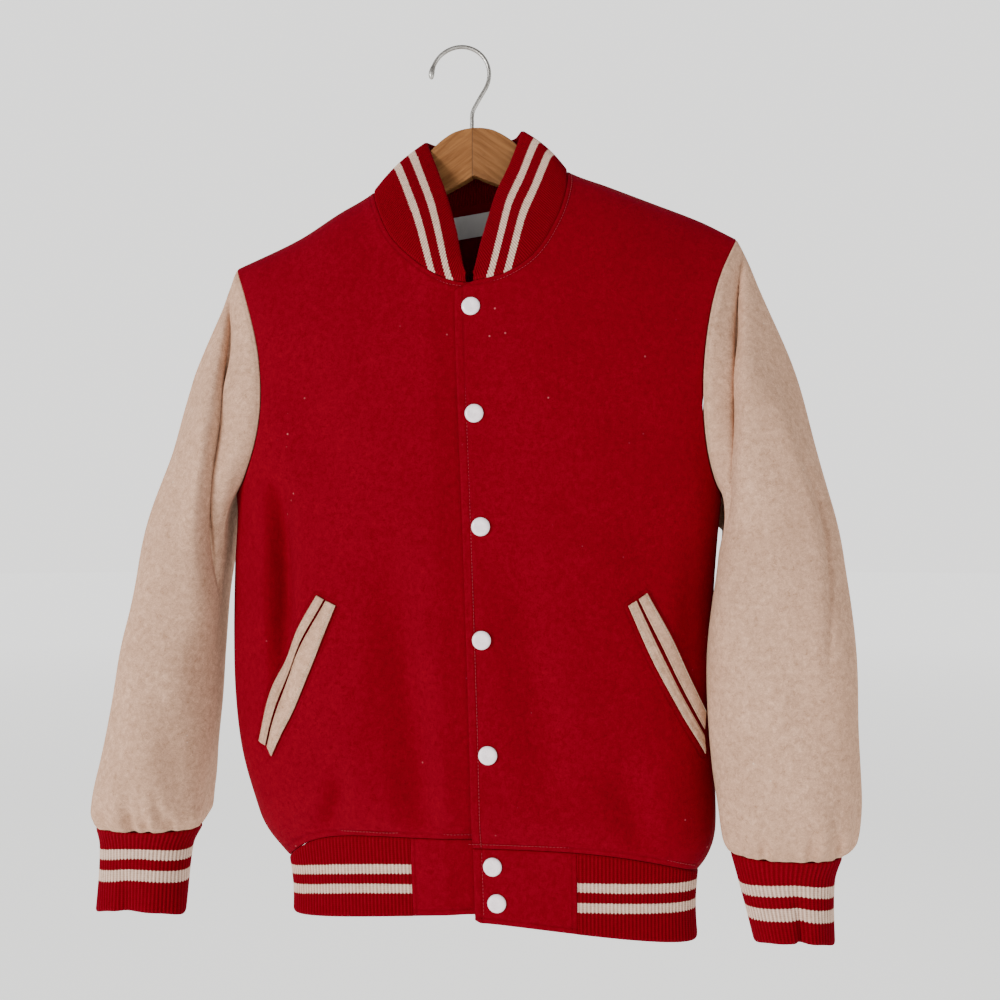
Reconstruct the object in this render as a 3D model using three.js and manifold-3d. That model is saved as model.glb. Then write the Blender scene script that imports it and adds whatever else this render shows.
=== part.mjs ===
// Varsity jacket with wool body, wool sleeves, striped rib bands and snaps, on a wooden hanger.
// Millimetres, +Z up, -Y is the front. The origin is the inside of the hook's top,
// where a nail or rail carries it. "Left" and "right" are as seen from the front.
import * as THREE from 'three';
import Manifold from 'manifold-3d';

const { Vector3, MathUtils } = THREE;

// ---- driving dimensions -----------------------------------------------------
const WOOL = 2.2;            // wool cloth, one wall
const RIB_CLOTH = 2.0;       // rib band wall at the grooves
const RIB_RELIEF = 0.6;      // rib crest above its groove
const RIB_PITCH = 2.7;       // rib to rib on hem and cuffs
const COLLAR_PITCH = 2.2;    // rib to rib on the collar, measured half way up the band
const SEAM_INSET = 0.16;     // each piece stops this short of its seam line
const TWIST_INSET = 0.35;    // and this much more for each radian that the seam turns over
const LIE = 0.4;             // clearance of a piece that lies on another
const RISE = 200;            // height over which the body opens from shoulder ridge to full depth
const ROUND_FRONT = 2.5;     // superellipse power of the body's front half
const ROUND_BACK = 2.6;
const TUCK = 45;             // height over which the body draws in to the hem band
const LAP = WOOL + 1;        // under front lies this far behind the over front
const LAP_RUN = 26;          // width over which it sinks there
const LAP_WIDTH = 36;        // under front beyond the over front's edge

// Body as seen from the front: left and right outline, and depth to front and to back.
const BODY = [
  { z: -60, left: -254, right: 290, front: 50, back: 46 },
  { z: -120, left: -252, right: 284, front: 52, back: 48 },
  { z: -200, left: -246, right: 273, front: 55, back: 50 },
  { z: -284, left: -231, right: 256, front: 60, back: 52 },
  { z: -350, left: -218, right: 245, front: 64, back: 52 },
  { z: -416, left: -207, right: 235, front: 66, back: 51 },
  { z: -480, left: -209, right: 229, front: 67, back: 50 },
  { z: -540, left: -209, right: 226, front: 67, back: 49 },
  { z: -600, left: -206, right: 226, front: 66, back: 48 },
  { z: -650, left: -199, right: 227, front: 64, back: 47 },
  { z: -700, left: -184, right: 228, front: 61, back: 46 },
  { z: -745, left: -168, right: 224, front: 58, back: 45 },
];
// Hem band: its ring at the seam and at the bottom.
const HEM_TOP = { left: -155, right: 212, front: 51, back: 41 };
const HEM_BOTTOM = { left: -151, right: 211, front: 49, back: 39 };
// Height of hem seam and hem bottom at the middle and at the side seams.
const HEM_LEVELS = {
  left: { seam: -711.5, seamPower: 7, bottom: -775.5, bottomPower: 1.5 },
  right: { seam: -718.5, seamPower: 3, bottom: -782, bottomPower: 1.2 },
  back: { seam: -716, seamPower: 5, bottom: -785, bottomPower: 4 },
};
const HEM_SIDE_SEAM = -742;
const HEM_SIDE_BOTTOM = { left: -790, right: -801 };
// Shoulder ridge, and above the neck hole the ridge that its cloth would have.
const RIDGE = [
  { x: -230, z: -208 }, { x: -211, z: -200 }, { x: -151, z: -174 }, { x: -113, z: -151 },
  { x: -80, z: -132 }, { x: -40, z: -98 }, { x: 8, z: -80 }, { x: 58, z: -90 },
  { x: 99, z: -119 }, { x: 137, z: -135 }, { x: 173, z: -150 }, { x: 218, z: -169 },
  { x: 250, z: -186 }, { x: 270, z: -196 },
];
const SHOULDER = { left: { tip: -211, neck: -80 }, right: { tip: 250, neck: 99 } };
const ARMPIT = { left: { x: -207, z: -416 }, right: { x: 235, z: -416 } };
// Armholes on the front and on the back, from shoulder tip to armpit.
const ARMHOLE = {
  left: {
    front: [{ x: -211, z: -200 }, { x: -195, z: -235 }, { x: -179, z: -284 }, { x: -174, z: -330 },
      { x: -179, z: -366 }, { x: -193, z: -400 }, { x: -207, z: -416 }],
    back: [{ x: -211, z: -200 }, { x: -204, z: -240 }, { x: -194, z: -290 }, { x: -189, z: -335 },
      { x: -191, z: -372 }, { x: -199, z: -402 }, { x: -207, z: -416 }],
  },
  right: {
    front: [{ x: 250, z: -186 }, { x: 234, z: -222 }, { x: 224, z: -258 }, { x: 218, z: -300 },
      { x: 217, z: -340 }, { x: 220, z: -374 }, { x: 227, z: -402 }, { x: 235, z: -416 }],
    back: [{ x: 250, z: -186 }, { x: 241, z: -228 }, { x: 230, z: -275 }, { x: 222, z: -325 },
      { x: 221, z: -368 }, { x: 227, z: -402 }, { x: 235, z: -416 }],
  },
};
// Neck seam: fronts from the shoulder seam to the front corner, back from seam to seam.
const NECK = {
  left: [{ x: -80, z: -132 }, { x: -72, z: -154 }, { x: -56, z: -185 }, { x: -31, z: -210 },
    { x: -7, z: -225 }, { x: 13, z: -230 }],
  right: [{ x: 99, z: -119 }, { x: 99, z: -142 }, { x: 91, z: -172 }, { x: 73, z: -204 },
    { x: 48, z: -222 }, { x: 20, z: -229 }],
  back: [{ x: -80, z: -132 }, { x: -58, z: -138 }, { x: -25, z: -138 }, { x: 8, z: -134 },
    { x: 45, z: -130 }, { x: 76, z: -124 }, { x: 99, z: -119 }],
};
// Edge of the over front down the middle, from the neck to the hem.
const FRONT_EDGE = [{ z: -200, x: 3 }, { z: -260, x: 4 }, { z: -420, x: 11 }, { z: -590, x: 17 },
  { z: -727, x: 19.5 }, { z: -800, x: 20 }];
const UNDER_TOP = { x: 38, z: -226 };   // hidden corner of the under front
// Columns of a front as shares of its width from side seam to front edge. The sixth is the
// end of the hem's rib band, where the wool tab starts.
const COLUMNS = {
  left: [0, 0.04, 0.13, 0.27, 0.42, 0.568, 0.70, 0.825, 1],
  right: [0, 0.04, 0.13, 0.27, 0.40, 0.539, 0.70, 0.86, 1],
};
const TAB_COLUMN = 5;
const BACK_NECK_COLUMNS = 8;
const SIDE_ROWS = [-416, -452, -495, -540, -585, -630, -668, -696, -716, -731];
const NECK_ROWS = 7;

// Free edge of the collar from the left front end, round the back, to the right front end.
const COLLAR_EDGE = {
  left: [{ x: 11, y: -54, z: -222 }, { x: 8, y: -51, z: -203 }, { x: 3, y: -46, z: -178 },
    { x: -8, y: -34, z: -143 }, { x: -19, y: -20, z: -115 }, { x: -31, y: 0, z: -86 }],
  back: [{ x: -31, y: 0, z: -86 }, { x: -22, y: 13, z: -85 }, { x: 12, y: 17, z: -84 },
    { x: 47, y: 13, z: -82 }, { x: 57, y: 0, z: -79 }],
  right: [{ x: 57, y: 0, z: -79 }, { x: 47, y: -17, z: -115 }, { x: 37, y: -30, z: -143 },
    { x: 31, y: -40, z: -168 }, { x: 25, y: -48, z: -194 }, { x: 20, y: -54, z: -221 }],
};
const COLLAR_BULGE = 3;      // the band bows outwards by this much half way up

// Sleeves hanging below the armpit: centre, half width and half depth at each height.
const SLEEVE = {
  left: {
    out: -1,
    sections: [
      { z: -470, x: -253.5, y: -5, wide: 39.5, deep: 52 },
      { z: -510, x: -260, y: -6, wide: 41, deep: 54 },
      { z: -560, x: -267.5, y: -8, wide: 43.5, deep: 55 },
      { z: -610, x: -272.5, y: -10, wide: 48, deep: 55 },
      { z: -655, x: -278, y: -12, wide: 50, deep: 54 },
      { z: -688, x: -283.5, y: -12, wide: 52, deep: 51 },
      { z: -703, x: -285, y: -12, wide: 52.5, deep: 45 },
      { z: -711, x: -286.5, y: -12, wide: 50.5, deep: 39 },
      { z: -716, x: -286.5, y: -12, wide: 48.5, deep: 33 },
    ],
    // direction in which the cloth leaves the armhole: shoulder, front, armpit, back
    leave: [[-0.46, 0, -0.89], [-0.72, -0.34, -0.55], [-0.62, 0, -0.78], [-0.8, 0.34, -0.5]],
    cuff: [{ z: -716.4, x: -286.5, y: -12, wide: 48, deep: 32 },
      { z: -733, x: -289, y: -12, wide: 42, deep: 27 },
      { z: -789, x: -292, y: -12, wide: 40.5, deep: 24 }],
  },
  right: {
    out: 1,
    sections: [
      { z: -470, x: 281.5, y: -20, wide: 52.5, deep: 49 },
      { z: -510, x: 281.5, y: -27, wide: 58, deep: 50 },
      { z: -560, x: 282.5, y: -32, wide: 61.5, deep: 50 },
      { z: -610, x: 283, y: -34, wide: 62, deep: 49 },
      { z: -655, x: 284, y: -35, wide: 60, deep: 48 },
      { z: -690, x: 285, y: -34, wide: 57, deep: 47 },
      { z: -705, x: 285.5, y: -32, wide: 54, deep: 43 },
      { z: -713, x: 285, y: -31, wide: 50.5, deep: 38 },
      { z: -718, x: 284, y: -30, wide: 46.5, deep: 34 },
    ],
    leave: [[0.5, 0, -0.87], [0.68, -0.42, -0.55], [0.62, 0, -0.78], [0.8, 0.34, -0.5]],
    cuff: [{ z: -718.4, x: 284, y: -30, wide: 45.5, deep: 33 },
      { z: -737, x: 283.5, y: -30, wide: 39.5, deep: 29 },
      { z: -785.5, x: 289, y: -30, wide: 31.5, deep: 30 }],
  },
};
const SLEEVE_ROUND = 2.25;
const LEAVE_PULL = 0.85;       // how far the leaving direction carries, as a share of the run
const UPPER_ROWS = [0, 0.06, 0.15, 0.27, 0.4, 0.54, 0.69, 0.84, 1];
const GATHER_RUN = 70;         // gathers start this far above the cuff
const GATHERS = 9;             // waves round the cuff seam
const GATHER_DEPTH = 2.6;

// Large creases seen from the front: a soft trough along each path, with its depth and width.
const CREASES = {
  sleeveLeft: [
    [{ x: -214, z: -226, deep: 3, wide: 16 }, { x: -212, z: -262, deep: 7, wide: 17 },
      { x: -213, z: -310, deep: 10, wide: 17 }, { x: -216, z: -364, deep: 12, wide: 17 },
      { x: -223, z: -402, deep: 12, wide: 16 }, { x: -222, z: -440, deep: 9, wide: 15 },
      { x: -219, z: -490, deep: 5, wide: 14 }, { x: -217, z: -545, deep: 0, wide: 14 }],
  ],
  sleeveRight: [
    [{ x: 247, z: -208, deep: 2, wide: 14 }, { x: 244, z: -250, deep: 5, wide: 14 },
      { x: 240, z: -320, deep: 7, wide: 15 }, { x: 237, z: -380, deep: 8, wide: 15 },
      { x: 232, z: -440, deep: 6, wide: 15 }, { x: 229, z: -480, deep: 0, wide: 14 }],
    [{ x: 282, z: -330, deep: 0, wide: 16 }, { x: 299, z: -385, deep: 4, wide: 16 },
      { x: 314, z: -440, deep: 5, wide: 17 }, { x: 315, z: -510, deep: 3, wide: 17 },
      { x: 312, z: -570, deep: 0, wide: 17 }],
  ],
  body: [
    [{ x: -192, z: -425, deep: 0, wide: 11 }, { x: -192, z: -470, deep: 5, wide: 11 },
      { x: -191, z: -540, deep: 6, wide: 11 }, { x: -190, z: -600, deep: 3, wide: 12 },
      { x: -188, z: -640, deep: 0, wide: 12 }],
    [{ x: -30, z: -450, deep: 0, wide: 24 }, { x: -28, z: -540, deep: 4, wide: 24 },
      { x: -24, z: -640, deep: 5, wide: 24 }, { x: -20, z: -700, deep: 3, wide: 22 },
      { x: -20, z: -725, deep: 0, wide: 22 }],
    [{ x: 150, z: -420, deep: 0, wide: 26 }, { x: 168, z: -480, deep: 3, wide: 26 },
      { x: 160, z: -560, deep: 0, wide: 26 }],
  ],
};

// Pocket welts: outer edge, slit and inner edge of each pocket, from top to bottom.
const POCKETS = {
  left: [
    { outer: [-116, -502], slitOuter: [-108.6, -506], slitInner: [-107.4, -506.6], inner: [-98, -511] },
    { outer: [-155, -567], slitOuter: [-147.6, -573], slitInner: [-146.2, -574], inner: [-127, -579] },
    { outer: [-173, -632], slitOuter: [-165.8, -635.5], slitInner: [-164.6, -636], inner: [-160, -645] },
  ],
  right: [
    { outer: [169, -499], slitOuter: [161, -504.5], slitInner: [159.6, -505.4], inner: [152, -510] },
    { outer: [195, -549], slitOuter: [186.5, -558], slitInner: [184, -559.5], inner: [175, -563] },
    { outer: [215, -598], slitOuter: [213, -613], slitInner: [212, -617], inner: [212.5, -633] },
  ],
};
const WELT = 1.8;

const SNAP_RADIUS = 8;
const SNAP_DOME = 2.6;
const SNAPS = [[18, -252], [22, -346], [28, -443], [29, -539], [34, -636], [36, -733], [39, -764]];

const LABEL = { left: -26, right: 38, top: -145, bottom: -166, lift: 3, thick: 0.8 };

const WIRE = 1.9;
const HOOK_RADIUS = 27;
const HOOK_STEM = { x: 11, z: -90 };
const HANGER_TILT = MathUtils.degToRad(2.4);
const HANGER_HALF_THICK = 5.5;
// Hanger arms from the middle outwards: distance, top and bottom height, share of thickness.
const HANGER = [
  { d: 0, top: -76, bottom: -120.5, thick: 1 }, { d: 10, top: -77, bottom: -125.5, thick: 1 },
  { d: 21, top: -80.5, bottom: -130.5, thick: 1 }, { d: 36, top: -91, bottom: -138, thick: 1 },
  { d: 58, top: -114, bottom: -150, thick: 1 },
  { d: 84, top: -134, bottom: -165, thick: 1 }, { d: 115, top: -152, bottom: -182, thick: 0.95 },
  { d: 150, top: -169, bottom: -198, thick: 0.9 }, { d: 182, top: -184, bottom: -210, thick: 0.8 },
  { d: 196, top: -192, bottom: -211, thick: 0.6 }, { d: 201, top: -197, bottom: -207, thick: 0.35 },
];
const HANGER_MIDDLE = 12;

const RED = { color: 0x8f0613, roughness: 0.95 };
const RED_RIB = { color: 0x960814, roughness: 0.9 };
const CREAM = { color: 0xc3a98f, roughness: 0.95 };
const PEARL = { color: 0xe4e1e4, roughness: 0.35 };
const WOOD_TONE = { color: 0x96693f, roughness: 0.6 };
const STEEL = { color: 0xa9a6a0, roughness: 0.35, metalness: 1 };
const WHITE = { color: 0xd8d4d2, roughness: 0.8 };

// ---- small tools ------------------------------------------------------------
const vec = (x, y, z) => new Vector3(x, y, z);
const mix = MathUtils.lerp;
const mod = (n, m) => ((n % m) + m) % m;

// Smooth value of every named column of a table at one value of its key column.
function lookup(table, key, at) {
  const up = table[table.length - 1][key] > table[0][key] ? 1 : -1;
  let i = 0;
  while (i < table.length - 2 && up * (at - table[i + 1][key]) > 0) i++;
  const [a, b] = [table[i], table[i + 1]];
  const [before, after] = [table[i - 1] || a, table[i + 2] || b];
  const t = MathUtils.clamp((at - a[key]) / (b[key] - a[key]), 0, 1);
  const found = {};
  for (const name of Object.keys(a)) {
    const slopeA = before === a ? (b[name] - a[name]) / (b[key] - a[key])
      : (b[name] - before[name]) / (b[key] - before[key]);
    const slopeB = after === b ? (b[name] - a[name]) / (b[key] - a[key])
      : (after[name] - a[name]) / (after[key] - a[key]);
    const run = b[key] - a[key];
    found[name] = a[name] * (1 + 2 * t) * (1 - t) ** 2 + slopeA * run * t * (1 - t) ** 2
      + b[name] * (3 - 2 * t) * t ** 2 - slopeB * run * (1 - t) * t ** 2;
  }
  return found;
}

// Points at equal shares of a smooth curve through the rows of a table.
function spread(rows, count) {
  const curve = new THREE.CatmullRomCurve3(rows.map((r) => vec(r.x, r.y || 0, r.z)), false, 'centripetal');
  curve.arcLengthDivisions = 400;
  return curve.getSpacedPoints(count);
}

// Depth of the creases at a place seen from the front.
function creaseDepth(paths, x, z) {
  let depth = 0;
  for (const path of paths) {
    let best = Infinity, here = null;
    for (let i = 0; i < path.length - 1; i++) {
      const [a, b] = [path[i], path[i + 1]];
      const [dx, dz] = [b.x - a.x, b.z - a.z];
      const t = MathUtils.clamp(((x - a.x) * dx + (z - a.z) * dz) / (dx * dx + dz * dz), 0, 1);
      const away = Math.hypot(x - a.x - t * dx, z - a.z - t * dz);
      if (away < best) {
        best = away;
        here = { deep: mix(a.deep, b.deep, t), wide: mix(a.wide, b.wide, t) };
      }
    }
    depth += here.deep * Math.exp(-((best / here.wide) ** 2));
  }
  return depth;
}

// ---- closed solids ----------------------------------------------------------
class Solid {
  constructor() { this.points = []; this.faces = []; }
  ring(points) { return points.map((p) => this.points.push(p) - 1); }
  face(a, b, c) { this.faces.push([a, b, c]); }
  apart(i, j) { return this.points[i].distanceTo(this.points[j]); }
  // Faces between two open rows. Rows of one length are split along the shorter diagonal,
  // which is the same one on both pieces at a seam.
  strip(a, b) {
    let [i, j] = [0, 0];
    while (i < a.length - 1 || j < b.length - 1) {
      let stepA = j >= b.length - 1 || (i < a.length - 1 && (i + 1) / (a.length - 1) <= (j + 1) / (b.length - 1));
      if (a.length === b.length && i === j) stepA = this.apart(a[i + 1], b[j]) < this.apart(a[i], b[j + 1]);
      if (stepA) { this.face(a[i], a[i + 1], b[j]); i++; } else { this.face(a[i], b[j + 1], b[j]); j++; }
    }
  }
  mesh(name, look) {
    let volume = 0;
    for (const [a, b, c] of this.faces) {
      volume += this.points[a].dot(this.points[b].clone().cross(this.points[c]));
    }
    const faces = volume > 0 ? this.faces : this.faces.map(([a, b, c]) => [a, c, b]);
    const geometry = new THREE.BufferGeometry();
    geometry.setAttribute('position', new THREE.Float32BufferAttribute(this.points.flatMap((p) => p.toArray()), 3));
    geometry.setIndex(faces.flat());
    geometry.computeVertexNormals();
    return named(name, geometry, look);
  }
}

function named(name, geometry, look) {
  const mesh = new THREE.Mesh(geometry, new THREE.MeshStandardMaterial({ metalness: 0, ...look }));
  mesh.name = name;
  return mesh;
}

const closed = (row) => [...row, row[0]];

// A tube wall: outer rings from end to end, then inner rings back to the start.
function tubeWall(name, outer, inner, look) {
  const solid = new Solid();
  const rings = [...outer, ...[...inner].reverse()].map((r) => solid.ring(r));
  rings.forEach((r, i) => solid.strip(closed(r), closed(rings[(i + 1) % rings.length])));
  return solid.mesh(name, look);
}

// A sheet wall: outer and inner grids of rows, closed round all four edges.
function sheetWall(name, outer, inner, look) {
  const solid = new Solid();
  const [out, inn] = [outer.map((r) => solid.ring(r)), inner.map((r) => solid.ring(r))];
  for (let i = 0; i < out.length - 1; i++) {
    solid.strip(out[i], out[i + 1]);
    solid.strip(inn[i + 1], inn[i]);
  }
  const column = (grid, j) => grid.map((r) => r[j < 0 ? r.length - 1 : j]);
  solid.strip(inn[0], out[0]);
  solid.strip(out[out.length - 1], inn[inn.length - 1]);
  solid.strip(column(out, 0), column(inn, 0));
  solid.strip(column(inn, -1), column(out, -1));
  return solid.mesh(name, look);
}

// A solid round thing from rings, with both ends closed.
function loft(name, rings, look) {
  const solid = new Solid();
  const rows = rings.map((r) => solid.ring(r));
  rows.slice(1).forEach((r, i) => solid.strip(closed(rows[i]), closed(r)));
  for (const [row, flip] of [[rows[0], false], [rows[rows.length - 1], true]]) {
    for (let i = 1; i < row.length - 1; i++) {
      if (flip) solid.face(row[0], row[i], row[i + 1]);
      else solid.face(row[0], row[i + 1], row[i]);
    }
  }
  return solid.mesh(name, look);
}

// ---- the body's surface -----------------------------------------------------
const ridgeHeight = (x) => lookup(RIDGE, 'x', x).z;
const frontEdge = (z) => lookup(FRONT_EDGE, 'z', z).x;

// Hem heights at a share of the half width, for one side of the front or for the back.
function hemLevels(face, q) {
  const { seam, seamPower, bottom, bottomPower } = HEM_LEVELS[face];
  const away = Math.abs(q);
  return { seam: mix(seam, HEM_SIDE_SEAM, away ** seamPower),
    bottom: mix(bottom, HEM_SIDE_BOTTOM[q < 0 ? 'left' : 'right'], away ** bottomPower) };
}

function bodySection(face, q, z) {
  const section = lookup(BODY, 'z', z);
  const share = MathUtils.clamp(1 - (z - hemLevels(face, q).seam) / TUCK, 0, 1) ** 3;
  const at = (name) => mix(section[name], HEM_TOP[name], share);
  return ovalSection(at('left'), at('right'), at('front'), at('back'));
}

const ovalSection = (left, right, front, back) => ({ mid: (left + right) / 2, half: (right - left) / 2, front, back });

// A point of an oval section: q runs from -1 at the left side to 1 at the right.
function ovalPoint(section, face, q, z, open = 1) {
  const back = face === 'back';
  const power = back ? ROUND_BACK : ROUND_FRONT;
  const share = Math.max(0, 1 - Math.abs(q) ** power) ** (1 / power);
  const depth = (back ? section.back : -section.front) * open;
  const point = vec(section.mid + section.half * q, depth * share, z);
  point.out = vec(Math.sign(q) * Math.abs(q) ** (power - 1) / section.half,
    (back ? 1 : -1) * share ** (power - 1) / Math.abs(depth || 1), 0).normalize();
  return point;
}

// A point of the jacket's body for a share q of its half width and a height.
function bodyPoint(face, q, z) {
  const section = bodySection(face, q, z);
  const below = ridgeHeight(section.mid + section.half * q) - z;
  const rise = below < 0.05 ? 0 : Math.min(below / RISE, 1);
  const point = ovalPoint(section, face, q, z, Math.sqrt(rise * (2 - rise)));
  if (face === 'back') return point;
  const pressed = creaseDepth(CREASES.body, point.x, point.z) * (1 - Math.abs(q) ** 30);
  point.addScaledVector(point.out, -pressed);
  if (face === 'left') point.y += lapDepth(point.x, z);
  return point;
}

// How far the under front has sunk behind the over front.
const lapDepth = (x, z) => LAP * MathUtils.smoothstep(x, frontEdge(z) - LAP_RUN, frontEdge(z) - 1);

// The share q at which the body's surface has a given x at a given height.
function shareAt(face, x, z) {
  let q = 0;
  for (let i = 0; i < 6; i++) {
    const section = bodySection(face, q, z);
    q = MathUtils.clamp((x - section.mid) / section.half, -1, 1);
  }
  return q;
}

const place = (face, p) => ({ q: shareAt(face, p.x, p.z), z: p.z });

// Shares and heights inside four edges, spread evenly between them.
function coons(top, bottom, left, right) {
  const last = { row: left.length - 1, col: top.length - 1 };
  const across = top.map((p) => (p.q - top[0].q) / (top[last.col].q - top[0].q));
  const acrossLow = bottom.map((p) => (p.q - bottom[0].q) / (bottom[last.col].q - bottom[0].q));
  return left.map((_, i) => {
    const down = (left[i].z - left[0].z) / (left[last.row].z - left[0].z);
    const downRight = (right[i].z - right[0].z) / (right[last.row].z - right[0].z);
    return top.map((_, j) => {
      const u = mix(across[j], acrossLow[j], down);
      const v = mix(down, downRight, u);
      const value = (k) => (1 - v) * top[j][k] + v * bottom[j][k] + (1 - u) * left[i][k] + u * right[i][k]
        - (1 - u) * (1 - v) * top[0][k] - u * (1 - v) * top[last.col][k]
        - (1 - u) * v * bottom[0][k] - u * v * bottom[last.col][k];
      return { q: value('q'), z: value('z') };
    });
  });
}

// ---- seams ------------------------------------------------------------------
// Every surface adds its normals here, so pieces that meet share one mitre at their seam.
const mitres = [];
const SAME_PLACE = 0.05;

function gridNormals(grid, round = false) {
  const [rows, cols] = [grid.length, grid[0].length];
  return grid.map((row, i) => row.map((p, j) => {
    const [left, right] = round ? [row[mod(j - 1, cols)], row[mod(j + 1, cols)]]
      : [row[Math.max(0, j - 1)], row[Math.min(cols - 1, j + 1)]];
    const up = grid[Math.max(0, i - 1)][j], low = grid[Math.min(rows - 1, i + 1)][j];
    return right.clone().sub(left).cross(low.clone().sub(up)).normalize();
  }));
}

function addMitre(grid, normals) {
  grid.forEach((row, i) => row.forEach((at, j) => mitres.push({ at, normal: normals[i][j] })));
}

function mitre(p, own) {
  const met = mitres.filter(({ at }) => at.distanceTo(p) < SAME_PLACE).map(({ normal }) => normal);
  const normals = met.length ? met : [own];
  const sum = vec(0, 0, 0);
  for (const n of normals) sum.add(n);
  sum.normalize();
  const faced = () => Math.min(...normals.map((n) => sum.dot(n)));
  for (let step = 0; normals.length > 1 && step < 40; step += 1) {
    const least = normals.find((n) => sum.dot(n) === faced());
    sum.addScaledVector(least, 0.3 / (step + 2)).normalize();
  }
  return sum.multiplyScalar(1 / Math.max(0.5, faced()));
}

// Outer and inner points of a wall: the grid's own points, drawn in a little from the seams.
function thicken(grid, normals, thick, round = false) {
  const [rows, cols] = [grid.length, grid[0].length];
  const outer = [], inner = [];
  const ways = grid.map((row, i) => row.map((p, j) => mitre(p, normals[i][j])));
  const at = (list, i, j) => list[MathUtils.clamp(i, 0, rows - 1)][round ? mod(j, cols) : MathUtils.clamp(j, 0, cols - 1)];
  grid.forEach((row, i) => {
    const outs = [], inns = [];
    row.forEach((p, j) => {
      const to = ways[i][j];
      const shift = vec(0, 0, 0);
      const pull = (neighbour, di, dj) => {
        const twist = Math.max(at(ways, i - di, j - dj).angleTo(to), at(ways, i + di, j + dj).angleTo(to));
        const way = at(grid, i + di, j + dj).clone().sub(at(grid, i - di, j - dj)).cross(to).normalize();
        const side = Math.sign(neighbour.clone().sub(p).dot(way));
        shift.addScaledVector(way, side * (SEAM_INSET + TWIST_INSET * Math.min(1, twist)));
      };
      if (i === 0) pull(grid[1][j], 0, 1);
      if (i === rows - 1) pull(grid[rows - 2][j], 0, 1);
      if (!round && j === 0) pull(row[1], 1, 0);
      if (!round && j === cols - 1) pull(row[cols - 2], 1, 0);
      outs.push(p.clone().add(shift));
      inns.push(p.clone().add(shift).addScaledVector(to, -thick));
    });
    outer.push(outs);
    inner.push(inns);
  });
  return { outer, inner };
}

// Rib band from plain columns: each stretch between two columns carries whole ribs.
function ribWall(name, grid, normals, pitchRow, pitch, round = false) {
  const { outer: groove, inner } = thicken(grid, normals, RIB_CLOTH, round);
  const cols = grid[0].length;
  const spans = round ? cols : cols - 1;
  const outer = groove.map(() => []);
  for (let j = 0; j < spans; j++) {
    const next = (j + 1) % cols;
    const ribs = Math.max(1, Math.round(groove[pitchRow][j].distanceTo(groove[pitchRow][next]) / pitch));
    groove.forEach((row, i) => {
      for (let k = 0; k < ribs; k++) {
        for (const half of [0, 0.5]) {
          const t = (k + half) / ribs;
          const normal = normals[i][j].clone().lerp(normals[i][next], t).normalize();
          outer[i].push(row[j].clone().lerp(row[next], t).addScaledVector(normal, half ? RIB_RELIEF : 0));
        }
      }
    });
  }
  if (!round) groove.forEach((row, i) => outer[i].push(row[cols - 1].clone()));
  return round ? tubeWall(name, outer, inner, RED_RIB) : sheetWall(name, outer, inner, RED_RIB);
}

// ---- pattern pieces of the body ---------------------------------------------
// Heights of armhole rows, close together under the shoulder ridge.
function armholeRows(rows, count) {
  const fine = spread(rows, 200);
  return Array.from({ length: count + 1 }, (_, i) => {
    const t = i / count;
    return fine[Math.round(200 * (0.62 * t + 0.38 * t * t * (3 - 2 * t) - 0.13 * Math.sin(Math.PI * t) ** 1.5 * (1 - t)))];
  });
}

function shoulderSeam(side, count, face) {
  const { tip, neck } = SHOULDER[side];
  return Array.from({ length: count + 1 }, (_, j) => {
    const x = mix(tip, neck, j / count);
    return place(face, { x, z: ridgeHeight(x) });
  });
}

function sideSeam(side) {
  const q = side === 'left' ? -1 : 1;
  const seam = hemLevels(side, q).seam;
  return [...SIDE_ROWS.slice(1).map((z) => ({ q, z })), { q, z: seam }];
}

const FRONT_ARM_ROWS = 14, BACK_ARM_ROWS = 10;

function frontGrid(side) {
  const armhole = armholeRows(ARMHOLE[side].front, FRONT_ARM_ROWS).map((p) => place(side, p));
  armhole[FRONT_ARM_ROWS] = { q: side === 'left' ? -1 : 1, z: ARMPIT[side].z };
  const outside = [...armhole, ...sideSeam(side)];
  const neckline = spread(NECK[side], NECK_ROWS);
  const corner = side === 'left' ? UNDER_TOP : { x: frontEdge(-237), z: -237 };
  const inside = [...neckline, corner].map((p) => place(side, p));
  const edgeX = (z) => frontEdge(z) + (side === 'left' ? LAP_WIDTH : 0);
  const rowsLeft = outside.length - inside.length;
  for (let i = 1; i <= rowsLeft; i++) {
    const z = mix(corner.z, HEM_LEVELS[side].seam, (i / rowsLeft) ** 0.92);
    inside.push(place(side, { x: edgeX(z), z }));
  }
  const seamQ = inside[inside.length - 1].q;
  const sideQ = side === 'left' ? -1 : 1;
  const bottom = COLUMNS[side].map((share) => {
    const q = mix(sideQ, seamQ, share);
    return { q, z: hemLevels(side, q).seam };
  });
  const shoulder = shoulderSeam(side, COLUMNS[side].length - 1, side);
  const net = coons(shoulder, bottom, outside, inside);
  const grid = net.map((row) => row.map(({ q, z }) => bodyPoint(side, q, z)));
  return side === 'left' ? grid : grid.map((row) => row.reverse());
}

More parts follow.
